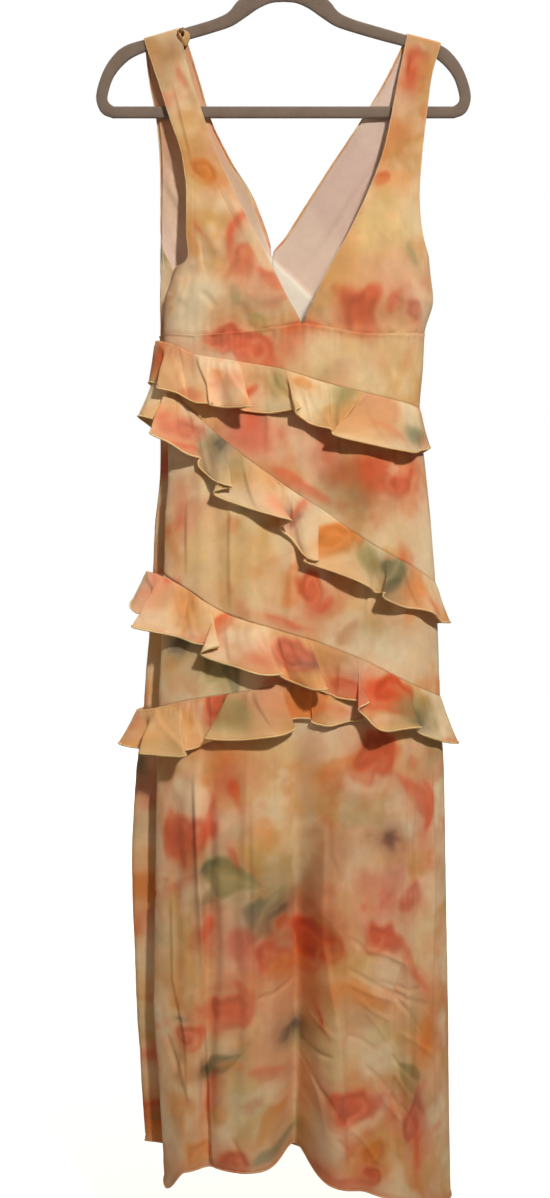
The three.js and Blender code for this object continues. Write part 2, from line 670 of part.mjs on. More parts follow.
const dress = new THREE.Group();
dress.name = 'maxi_dress';
for (const name of Object.keys(BODICE)) {
  dress.add(bodice(`bodice_${name}`, BODICE[name]));
}
dress.add(lining('lining_back_left', BODICE.back_left));
dress.add(lining('lining_back_right', BODICE.back_right));
for (const side of ['front', 'back']) {
  const bust = (u) => seamAt(side, u);
  const hem = (u) => hemAt(side, u);
  const gathers = gathersOf(side);
  dress.add(panel(`midriff_${side}`, side, MIDRIFF_STEPS, 2, bust, above1, gathers));
  dress.add(panel(`upper_panel_${side}`, side, PANEL_STEPS, 2, seam1, seam2));
  dress.add(panel(`middle_panel_${side}`, side, PANEL_STEPS, 2, seam2, seam3));
  dress.add(panel(`gore_${side}`, side, GORE_STEPS, 2, seam3, seam4));
  dress.add(panel(`skirt_${side}`, side, PANEL_STEPS, 8, seam4, hem));
  dress.add(ruffle(`ruffle_1_${side}`, 'r1', side, RUFFLE_STEPS));
  dress.add(ruffle(`ruffle_2_${side}`, 'r2', side, RUFFLE_STEPS));
  dress.add(ruffle(`ruffle_3_${side}`, 'r3', side, RUFFLE_STEPS));
  dress.add(ruffle(`ruffle_4_${side}`, 'r4', side, SHORT_RUFFLE_STEPS));
}
dress.add(hanger());
dress.add(hook());

export default dress;
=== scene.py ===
"""Looks of a V-neck maxi dress with four diagonal ruffles, hung on a slim hanger.

The shape tables are in millimetres, +Z is up and the front of the dress looks along -Y.
Each piece of cloth is a grid of points worked out from the same tables as its solid, with
creases, gathers and rolled hems added, and a blurred flower print kept as a colour at each point.
"""
import math

import bpy
import numpy as np
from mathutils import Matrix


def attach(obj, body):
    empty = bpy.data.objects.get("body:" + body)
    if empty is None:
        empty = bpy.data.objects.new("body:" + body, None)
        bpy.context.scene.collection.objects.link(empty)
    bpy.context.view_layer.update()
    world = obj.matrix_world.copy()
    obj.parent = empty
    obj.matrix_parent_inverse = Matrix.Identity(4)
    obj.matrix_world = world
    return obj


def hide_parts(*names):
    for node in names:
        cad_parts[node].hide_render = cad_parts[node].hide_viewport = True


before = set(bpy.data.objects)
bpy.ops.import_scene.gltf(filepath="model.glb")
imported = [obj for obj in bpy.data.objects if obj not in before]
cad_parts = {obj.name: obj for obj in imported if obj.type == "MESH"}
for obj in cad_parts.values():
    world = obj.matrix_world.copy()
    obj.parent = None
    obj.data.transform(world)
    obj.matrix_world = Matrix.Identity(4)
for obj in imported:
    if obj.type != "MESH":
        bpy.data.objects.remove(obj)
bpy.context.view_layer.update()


def table(names, rows):
    """Rows of numbers as named columns."""
    return dict(zip(names.split(), np.array(rows, float).T))


# Shape of the dress, as its solids have it: lengths in millimetres, shares of the half turn from 0 to 1.
MM = 0.001
HALF_GAP = 0.15
SIDE_ROUNDNESS = 0.82
SIDE_UNROLL = 0.7
FOLDLESS_SIDE = (0.02, 0.16)
LEFT_BLEND = 0.12
TUCK_WIDTH = {"front": 0.055, "back": 0.04}
OUTWARD = {"front": -1.0, "back": 1.0}
RUFFLE_LIFT = 1.75
OVERLAP_LIFT = 2.0
STRAP_RISE = 4.6
SHOULDER_SHARE = 0.06
FOLD_FOOT = -1510
GORE_END = 0.68
SHORT_RUFFLE_END = 0.69
LINING_START = 0.1
BUST_TUCK = 2.0
RUFFLE_TUCK = 1.0
HEM_TURN = 7.0

# At each height: x of the left side seam, of the left side of the front and of the back, and of the
# right side, then the depth of the front and of the back.
SECTIONS = table("z seam front back right fore aft", [
    (-140, -600, -600, -600, 600, 4.7, 4.7), (-166, -600, -600, -600, 600, 4.8, 4.8),
    (-200, -420, -420, -420, 420, 8.5, 8.5), (-250, -290, -290, -290, 300, 14, 11),
    (-300, -204, -204, -204, 216, 22, 15), (-345, -146, -156, -152, 178, 30, 20),
    (-380, -139, -144, -152, 172, 38, 25), (-428, -131, -131, -153, 174, 47, 29),
    (-464, -140, -141, -153, 178, 49, 31), (-504, -142, -144, -152, 168, 41, 32),
    (-543, -138, -144, -152, 166, 40, 34), (-596, -133, -143, -152, 162, 41, 36),
    (-665, -127, -143, -153, 169, 44, 39), (-725, -127, -147, -159, 175, 46, 41),
    (-842, -129, -151, -166, 183, 49, 44), (-958, -132, -156, -175, 187, 52, 47),
    (-1023, -134, -157, -183, 191, 53, 48), (-1140, -137, -159, -189, 193, 55, 50),
    (-1285, -137, -161, -184, 195, 58, 52), (-1367, -134, -156, -179, 196, 60, 54),
    (-1449, -130, -151, -174, 197, 62, 56), (-1540, -126, -146, -169, 199, 64, 58),
])

# Height of the bust seam in front and at the back, and of the seams of the four ruffles.
SEAMS = table("x front back r1 r2 r3 r4", [
    (-150, -504, -504, -510, -532, -772, -958), (-125, -508, -506, -521, -569, -788, -949),
    (-100, -511, -508, -534, -598, -804, -940), (-50, -509, -509, -544, -642, -837, -930),
    (0, -503, -510, -553, -681, -854, -920), (22, -500, -510, -560, -697, -861, -915),
    (50, -503.5, -509, -569, -715, -870, -910), (100, -510, -508, -581, -752, -891, -905),
    (150, -507, -506, -592, -781, -918, -905), (200, -502, -502, -603, -815, -942, -905),
])

# Height of the skirt's hem.
HEMS = table("x front back", [
    (-135, -1466, -1466), (-118, -1506, -1472), (-95, -1478, -1478), (-55, -1473, -1482),
    (-15, -1472, -1486), (15, -1469, -1490), (45, -1481, -1494), (72, -1490, -1499),
    (110, -1502, -1506), (160, -1515, -1514), (200, -1524, -1524),
])

# Long hanging folds: height of the upper end, place there and at the foot, half width, depth at the
# upper end and at the foot.
FOLDS = {
    "front": [
        (-900, -112, -116, 17, 0, 9), (-900, -82, -86, 13, -2, -9), (-700, -36, -46, 22, 2, 7),
        (-860, 14, 15, 20, 0, -84), (-900, 62, 60, 20, 0, 6), (-700, 98, 92, 14, -1, -7),
        (-900, 146, 150, 20, 1, 6), (-545, -20, 30, 26, -2, 0),
    ],
    "back": [
        (-880, -120, -124, 18, 0, 8), (-860, -72, -78, 19, 0, -26), (-700, -20, -14, 24, 2, 8),
        (-860, 52, 48, 20, 0, -30), (-760, 104, 110, 20, 1, 9), (-900, 150, 152, 13, 0, -7),
    ],
}

# Ruffles: depth at the left, in the middle and at the right, stand-off at the same places, and 1 for
# the one that lies over the next.
RUFFLES = {
    "r1": (48, 55, 44, 11, 5, 11, 0),
    "r2": (50, 56, 45, 24, 5, 18, 0),
    "r3": (33, 54, 54, 17, 12, 22, 1),
    "r4": (38, 53, 50, 20, 5, 4, 0),
}

# Waves: place along the seam, half width, stand-off, lean and drop of the hem.
WAVES = {
    ("r1", "front"): [
        (-92, 20, 14, 6, 6), (-48, 14, 18, 10, 4), (4, 16, 14, 6, -4), (50, 17, 16, 6, 9),
        (92, 14, 15, -13, 0), (128, 18, 13, 8, 8),
    ],
    ("r1", "back"): [
        (-96, 17, 16, -8, 6), (-50, 16, 14, 9, 3), (-4, 15, 18, 10, 7), (44, 18, 14, -9, 2),
        (92, 15, 17, 9, 7), (134, 15, 12, -6, 4),
    ],
    ("r2", "front"): [
        (-112, 16, 14, 4, 4), (-62, 14, 19, 9, 3), (-10, 17, 13, 8, -2), (38, 14, 18, 6, 12),
        (84, 18, 15, 8, 6), (122, 13, 16, -8, -4), (158, 14, 11, 6, -6),
    ],
    ("r2", "back"): [
        (-100, 15, 15, -7, 5), (-52, 17, 17, 9, 4), (-2, 15, 14, 9, 0), (46, 16, 18, -8, 8),
        (92, 15, 14, 8, 4), (140, 17, 14, -7, 0),
    ],
    ("r3", "front"): [
        (-118, 17, 11, -5, 10), (-66, 15, 15, 9, -4), (-14, 17, 12, 8, 3), (32, 13, 17, 9, 5),
        (88, 16, 12, 9, 2), (122, 13, 15, -8, 10), (158, 13, 8, 6, 2),
    ],
    ("r3", "back"): [
        (-106, 16, 14, 7, 5), (-58, 15, 13, -8, 2), (-8, 17, 16, 8, 6), (42, 14, 13, 9, 0),
        (88, 16, 15, -8, 6), (138, 15, 12, 6, 2),
    ],
    ("r4", "front"): [
        (-100, 16, 18, 9, 8), (-54, 14, 14, -8, 0), (-12, 15, 14, 7, 0), (26, 13, 9, 6, -10),
        (64, 13, 5, -4, 2),
    ],
    ("r4", "back"): [
        (-100, 16, 16, -8, 6), (-54, 15, 17, 8, 4), (-8, 15, 14, 8, 0), (34, 13, 8, -5, -6),
        (68, 13, 5, 4, 2),
    ],
}

# Fold-overs of the ruffles: place along the seam, slant towards the hem, half width, overlap,
# how much further out the right side lies than the left, and how late below the seam it opens.
FOLD_OVERS = {
    ("r1", "front"): [
        (-86, 4, 9, 6, 9, 1.4), (-42, -6, 9, 10, -15, 0.7), (8, 8, 9, 7, 11, 1.3), (46, 4, 8, 4, -6, 1.6),
        (94, -24, 10, 13, 17, 0.5),
    ],
    ("r1", "back"): [
        (-72, 6, 10, 9, 14, 1.2), (-20, -5, 9, 8, -13, 1.4), (66, 5, 10, 11, 14, 0.6),
        (112, -4, 9, 8, -12, 1.2),
    ],
    ("r2", "front"): [
        (-92, 4, 8, 5, 8, 1.6), (-52, -12, 10, 13, 17, 0.5), (2, 4, 8, 9, -13, 1.4),
        (52, -20, 10, 13, 16, 0.6),
        (122, 0, 8, 9, 13, 1.2),
    ],
    ("r2", "back"): [
        (-76, -5, 9, 9, -14, 1.2), (-26, 6, 10, 11, 13, 0.6), (28, -8, 10, 10, 15, 1.3),
        (116, -5, 9, 8, -12, 1.4),
    ],
    ("r3", "front"): [
        (-62, -8, 10, 13, 16, 0.6), (-6, 6, 8, 4, -6, 1.6), (44, 8, 9, 12, -15, 0.9),
        (92, -10, 10, 12, 15, 0.7),
        (148, 0, 8, 9, -13, 1.2),
    ],
    ("r3", "back"): [
        (-82, 6, 10, 9, 13, 1.2), (-32, -5, 9, 8, -13, 1.4), (62, -6, 10, 12, 15, 0.6),
        (112, -5, 9, 8, -12, 1.3),
    ],
    ("r4", "front"): [
        (-98, 8, 9, 11, -15, 0.8), (-48, -8, 10, 13, 16, 0.6), (12, 6, 9, 9, -12, 1.1),
        (42, 2, 8, 5, 8, 1.4),
    ],
    ("r4", "back"): [
        (-76, 6, 10, 11, 14, 0.6), (-30, -5, 9, 8, -12, 1.2), (14, 5, 9, 7, 10, 1.4),
    ],
}

# Turn of each front ruffle at the left side: half width of the fold, overlap and stand-off.
LEFT_TURNS = {"r1": (0.030, 11, 9), "r2": (0.032, 15, 12), "r3": (0.030, 14, 11), "r4": (0.034, 15, 12)}
LEFT_TURN_AT = 0.105

# Crisp creases across the ruffles: place at the seam and at the hem, height (minus is a valley) and
# how far it fades to the right (minus to the left). The back has them mirrored.
RUFFLE_CREASES = {
    "r1": [
        (-118, -108, -1.4, 10), (-96, -84, 2.2, 14), (-63, -46, 2.2, -10), (-28, -36, -1.8, 9),
        (7, 11, 2.0, 12),
        (27, 30, 1.6, -9), (58, 54, 2.2, 11), (104, 120, 1.8, 8), (132, 122, -1.5, 9), (152, 158, 1.4, 8),
    ],
    "r2": [
        (-114, -104, 1.5, 9), (-90, -76, 2.1, -12), (-60, -66, -1.4, 8), (-35, -22, 2.2, 10),
        (-8, -1, -1.8, 8),
        (22, 17, 1.9, 10), (70, 63, 1.9, -10), (98, 113, -1.9, 9), (138, 150, 1.7, 8), (164, 160, 1.4, -8),
    ],
    "r3": [
        (-127, -110, 1.8, 10), (-90, -95, -1.8, 10), (-48, -38, 1.7, 9), (-22, -9, 2.1, -10),
        (5, 17, 1.9, 10),
        (36, 34, -2.0, 8), (74, 68, 1.7, 9), (118, 127, 1.9, -9), (140, 136, -1.4, 8), (164, 171, 1.5, 8),
    ],
    "r4": [
        (-122, -100, 2.1, -9), (-86, -91, -1.8, 9), (-66, -58, 1.6, 8), (-46, -35, 1.9, -8),
        (-20, -5, 2.1, 10),
        (24, 18, -1.5, 8), (46, 40, 1.6, 8),
    ],
}

# Bodice pieces: side, the end of the half turn where the outer edge comes, the row of the armpit, then
# rows from shoulder to bust seam with the outer edge's x and z and the inner edge's x and z.
BODICE = {
    "front_left": ("front", 0, 8, [
        (-165, -156.5, -124, -144.4), (-150, -201, -110, -201), (-134, -252, -94, -252),
        (-119, -299, -77, -300), (-114, -343, -57, -345), (-114, -388, -37, -388),
        (-112, -414, -23, -415), (-117, -424, -15, -431), (-131, -428, -7, -447),
        (-140, -452, 2, -465), (-141, -478, 12, -482), (-142, -504, 21.7, -500),
    ]),
    "front_right": ("front", 1, 6, [
        (186, -161.4, 147, -151.2), (175, -200, 137, -199), (169, -244, 128, -246),
        (163, -295, 117, -295), (160, -345, 99, -342), (164, -391, 77, -389),
        (173, -421, 54, -433), (178, -464, 38, -466), (168, -504, 22.3, -500),
    ]),
    "back_left": ("back", 0, 5, [
        (-165, -156.5, -119, -142.9), (-160, -200, -101, -199), (-152, -243, -88, -243),
        (-148, -290, -64, -292), (-147, -345, -33, -343), (-153, -428, -14.2, -406),
        (-153, -464, -14.2, -460), (-152, -504, -14.2, -504),
    ]),
    "back_right": ("back", 1, 6, [
        (184, -160.9, 146, -150.9), (172, -200, 122, -199), (164, -244, 92, -248),
        (157, -295, 56, -301), (155, -345, 24, -349), (160, -391, 4, -379),
        (173, -421, -13.8, -406), (178, -464, -13.8, -460), (168, -504, -13.8, -504),
    ]),
}

# Right half of the hanger's outer and inner outline, x and z, from the middle to the lower bar.
HANGER_OUTER = [
    (0, -75), (12, -76), (24, -83), (40, -96), (55, -108), (66, -121), (85, -130), (120, -140.4),
    (155, -150.7), (187, -160.2), (203, -173), (215, -192), (222.5, -216), (221.5, -231),
    (215, -242), (203, -247),
]
HANGER_INNER = [
    (0, -108.5), (15, -110), (30, -116.5), (46, -127.5), (62, -137.5), (85, -145.3), (115, -154),
    (145, -162), (172, -171), (188, -181), (202, -198), (209, -219), (208, -228), (202, -233),
]
HANGER_SIDES = 24
HANGER_HALF_THICK = 2.5
HANGER_FLATNESS = 0.7

# Creases: from x, z to x, z, half width, depth (plus stands out) and bow.
CREASES = {"front": [
    (-109, -426, -122, -488, 6, -0.9, 3), (-125, -437, -120, -474, 6, 0.5, 0),
    (-136, -455, -127, -462, 2.4, -0.4, 0), (-98, -461, -79, -483, 4, -0.7, 2),
    (-91, -376, -78, -419, 7, 0.8, 0), (-64, -347, -44, -393, 4, 0.6, 0),
    (-50, -474, -39, -509, 5, -0.8, 0), (90, -400, 85, -504, 9, 1, 4),
    (125, -467, 142, -477, 2.2, -0.8, 0), (139, -484, 161, -495, 2.2, -0.8, 1),
    (128, -300, 158, -327, 3, -0.6, 1), (132, -359, 143, -391, 4, -0.7, 0),
    (111, -387, 125, -405, 3, 0.6, 0), (42, -474, 53, -504, 5, 0.7, 0),
    (-126, -190, -108, -250, 5, -0.5, 3), (-138, -215, -116, -300, 6, 0.5, -3),
    (-100, -526, -100, -936, 6, 0.9, 2), (-78, -682, -76, -936, 6, -0.9, 0),
    (-41, -636, -44, -924, 7, 0.9, 3), (-9, -566, -5, -866, 6, -0.7, 0),
    (25, -532, 22, -728, 5, 0.7, 0), (57, -636, 59, -924, 7, -1, 2),
    (90, -589, 94, -878, 8, 0.9, 0), (125, -682, 127, -936, 7, -0.9, 0),
    (148, -612, 155, -924, 6, 0.8, 0), (-129, -1016, -124, -1397, 7, -1.6, 3),
    (-100, -987, -102, -1501, 5, 2.2, 2), (-89, -1005, -90, -1478, 4, -1.6, 0),
    (-75, -976, -70, -1495, 5, 1.8, 3), (-55, -982, -53, -1455, 6, -1.4, 0),
    (-38, -976, -34, -1293, 4.5, 1.6, 2), (-25, -1005, -20, -1420, 7, -1.4, 2),
    (3, -982, 1, -1466, 6, 1.6, 0), (57, -1005, 60, -1501, 7, 2, 2),
    (74, -1051, 76, -1489, 5, -1.6, 0), (93, -982, 89, -1495, 9, 1.6, 4),
    (123, -1005, 118, -1501, 7, -1.8, 0), (147, -993, 142, -1495, 4.5, 2.4, 2),
    (158, -1005, 157, -1501, 5, -1.6, 0), (173, -1051, 176, -1455, 5, 1.2, 0),
    (66, -1238, 177, -1293, 1.9, -1.0, -5), (63, -1253, 134, -1285, 1.9, 0.9, -3),
    (119, -1271, 162, -1324, 1.9, -0.9, 4), (79, -1273, 132, -1309, 1.8, 0.8, -3),
    (59, -1342, 12, -1336, 2.2, -0.9, 2), (119, -1339, 166, -1381, 1.9, -0.9, -4),
    (130, -1316, 176, -1353, 1.8, 0.8, 3), (43, -1380, 67, -1418, 2.4, -0.9, 2),
    (13, -1351, 55, -1406, 1.9, -0.8, 4), (126, -1363, 150, -1399, 2.4, 0.8, 0),
    (88, -1351, 134, -1409, 2.0, -0.8, 5), (71, -1420, 111, -1472, 2.8, 0.8, 3),
    (-34, -1279, 14, -1261, 2.4, -0.9, -3), (-137, -1322, -123, -1368, 3, -0.9, 0),
    (-154, -1172, -136, -1143, 3, -0.8, 0), (-120, -1351, -108, -1397, 3, 0.8, 0),
    (-62, -1432, -39, -1472, 3, -0.8, 0), (53, -1109, 71, -1166, 3, -0.8, 0),
    (74, -1207, 102, -1236, 2.4, -0.8, 2), (163, -1293, 177, -1330, 2.4, 0.7, 0),
    (88, -1222, 150, -1246, 1.9, 0.8, 4), (98, -1254, 170, -1272, 1.8, -0.8, -4),
    (92, -1292, 120, -1330, 1.9, 0.7, 2),
    (70, -1318, 108, -1340, 1.9, -0.7, 3), (104, -1376, 140, -1424, 1.9, 0.8, -3),
    (132, -1398, 158, -1440, 1.9, -0.8, 3),
    (28, -1300, 60, -1322, 1.9, 0.7, 2), (30, -1368, 48, -1424, 2.0, 0.7, 3),
    (56, -1430, 84, -1466, 2.0, -0.7, 2),
], "back": [
    (-150, -430, -120, -480, 5, -0.4, 3), (150, -440, 120, -485, 5, -0.4, -3),
    (-60, -420, -50, -495, 7, 0.9, 2), (60, -400, 64, -495, 8, 0.9, 0),
    (-30, -430, -22, -498, 5, -0.8, 0), (-105, -560, -102, -900, 6, 0.9, 2),
    (-60, -600, -66, -930, 7, -0.9, 0), (-14, -560, -10, -860, 7, 0.9, 3),
    (40, -600, 44, -900, 7, -1, 0), (92, -620, 96, -920, 7, 0.9, 2),
    (138, -640, 142, -930, 6, -0.8, 0), (-130, -1000, -136, -1440, 6, 1.6, 2),
    (-100, -990, -98, -1460, 5, -1.6, 0), (-50, -980, -46, -1470, 6, 1.8, 3),
    (-16, -1000, -12, -1300, 6, -1.4, 0), (24, -980, 22, -1480, 6, 1.8, 2),
    (80, -980, 84, -1490, 6, -1.6, 0), (108, -1000, 112, -1490, 5, 2.0, 2),
    (140, -990, 146, -1500, 6, -1.5, 0), (170, -1020, 172, -1480, 5, 1.2, 0),
    (-120, -1250, -40, -1300, 2.6, -1, -4), (-90, -1290, -30, -1340, 2.4, 0.9, 3),
    (60, -1260, 130, -1320, 2.6, -1, 4), (90, -1310, 150, -1350, 2.4, 0.9, -3),
    (20, -1400, 80, -1440, 2.6, -0.9, 3), (-140, -1380, -100, -1420, 2.6, -0.9, 2),
]}

# Pressed fold lines: points x, z from the top down, height (minus is a valley), and how far it
# fades to the right (minus to the left); the other side drops off sharply.
PRESSED = {"front": [
    ([(-103, -1015), (-99, -1150), (-91, -1310), (-79, -1455), (-77, -1500)], 3.2, 15),
    ([(-37, -985), (-41, -1110), (-37, -1220), (-33, -1330)], -2.0, 15),
    ([(49, -1060), (47, -1210), (63, -1312), (68, -1400), (70, -1480)], 2.6, -15),
    ([(145, -990), (145, -1125), (140, -1240), (126, -1285), (122, -1500)], -3.2, 17),
    ([(-131, -1150), (-128, -1260), (-112, -1330), (-108, -1420)], 1.6, 11),
    ([(-8, -985), (-7, -1090), (-12, -1230), (-16, -1340)], 1.8, 12),
    ([(92, -985), (96, -1090), (90, -1200)], -1.4, 14),
    ([(172, -1000), (174, -1130), (170, -1290), (174, -1440)], 1.8, -12),
    ([(-61, -690), (-62, -770), (-60, -845)], 1.9, 13), ([(96, -775), (97, -850), (96, -930)], -1.8, 15),
    ([(8, -740), (10, -800), (6, -865)], 1.5, -12), ([(-112, -690), (-112, -800)], 1.5, 12),
    ([(64, -590), (66, -650), (63, -715)], -1.6, 13), ([(126, -600), (128, -700), (131, -790)], 1.4, -12),
    ([(-20, -556), (-18, -620), (-20, -665)], 1.4, 12), ([(-96, -850), (-98, -930)], 1.3, 12),
    ([(88, -400), (85, -450), (86, -512), (86, -570)], -1.3, 13), ([(-60, -440), (-55, -505)], 1.0, 10),
    ([(-108, -424), (-116, -458), (-127, -488)], 1.7, 14),
    ([(-99, -385), (-94, -427), (-82, -462)], -1.1, 11),
    ([(-132, -200), (-117, -262), (-104, -318)], 0.9, 8),
    ([(158, -190), (150, -262), (150, -330)], 0.8, -8),
], "back": [
    ([(-112, -1000), (-108, -1180), (-116, -1330), (-118, -1460)], 2.8, 15),
    ([(-30, -990), (-34, -1150), (-28, -1300), (-26, -1470)], -2.4, 16),
    ([(28, -1000), (24, -1160), (32, -1330)], 2.0, -14), ([(96, -990), (92, -1180), (98, -1480)], -2.8, 15),
    ([(150, -1010), (146, -1200), (150, -1430)], 2.2, -13), ([(-70, -640), (-66, -800)], 1.6, 12),
    ([(30, -640), (32, -840)], -1.6, 13), ([(110, -620), (112, -880)], 1.5, -12),
    ([(-60, -400), (-56, -500)], 1.0, 10), ([(90, -400), (84, -500)], 0.8, -11),
]}

# Colours of the print and trims, as screen values.
PALETTE = {
    "pale": (255, 234, 196), "shell": (250, 212, 178), "cream": (247, 214, 156), "peach": (239, 180, 122),
    "ochre": (216, 164, 84), "blush": (238, 166, 128), "coral": (234, 92, 58),
    "rose": (228, 106, 84), "orange": (240, 132, 52), "flame": (232, 76, 36),
    "rust": (186, 92, 46), "olive": (152, 142, 84), "leaf": (116, 122, 90),
    "moss": (70, 80, 62), "lime": (172, 172, 86), "plum": (82, 68, 78),
    "gold": (246, 216, 148), "piping": (226, 150, 112),
}
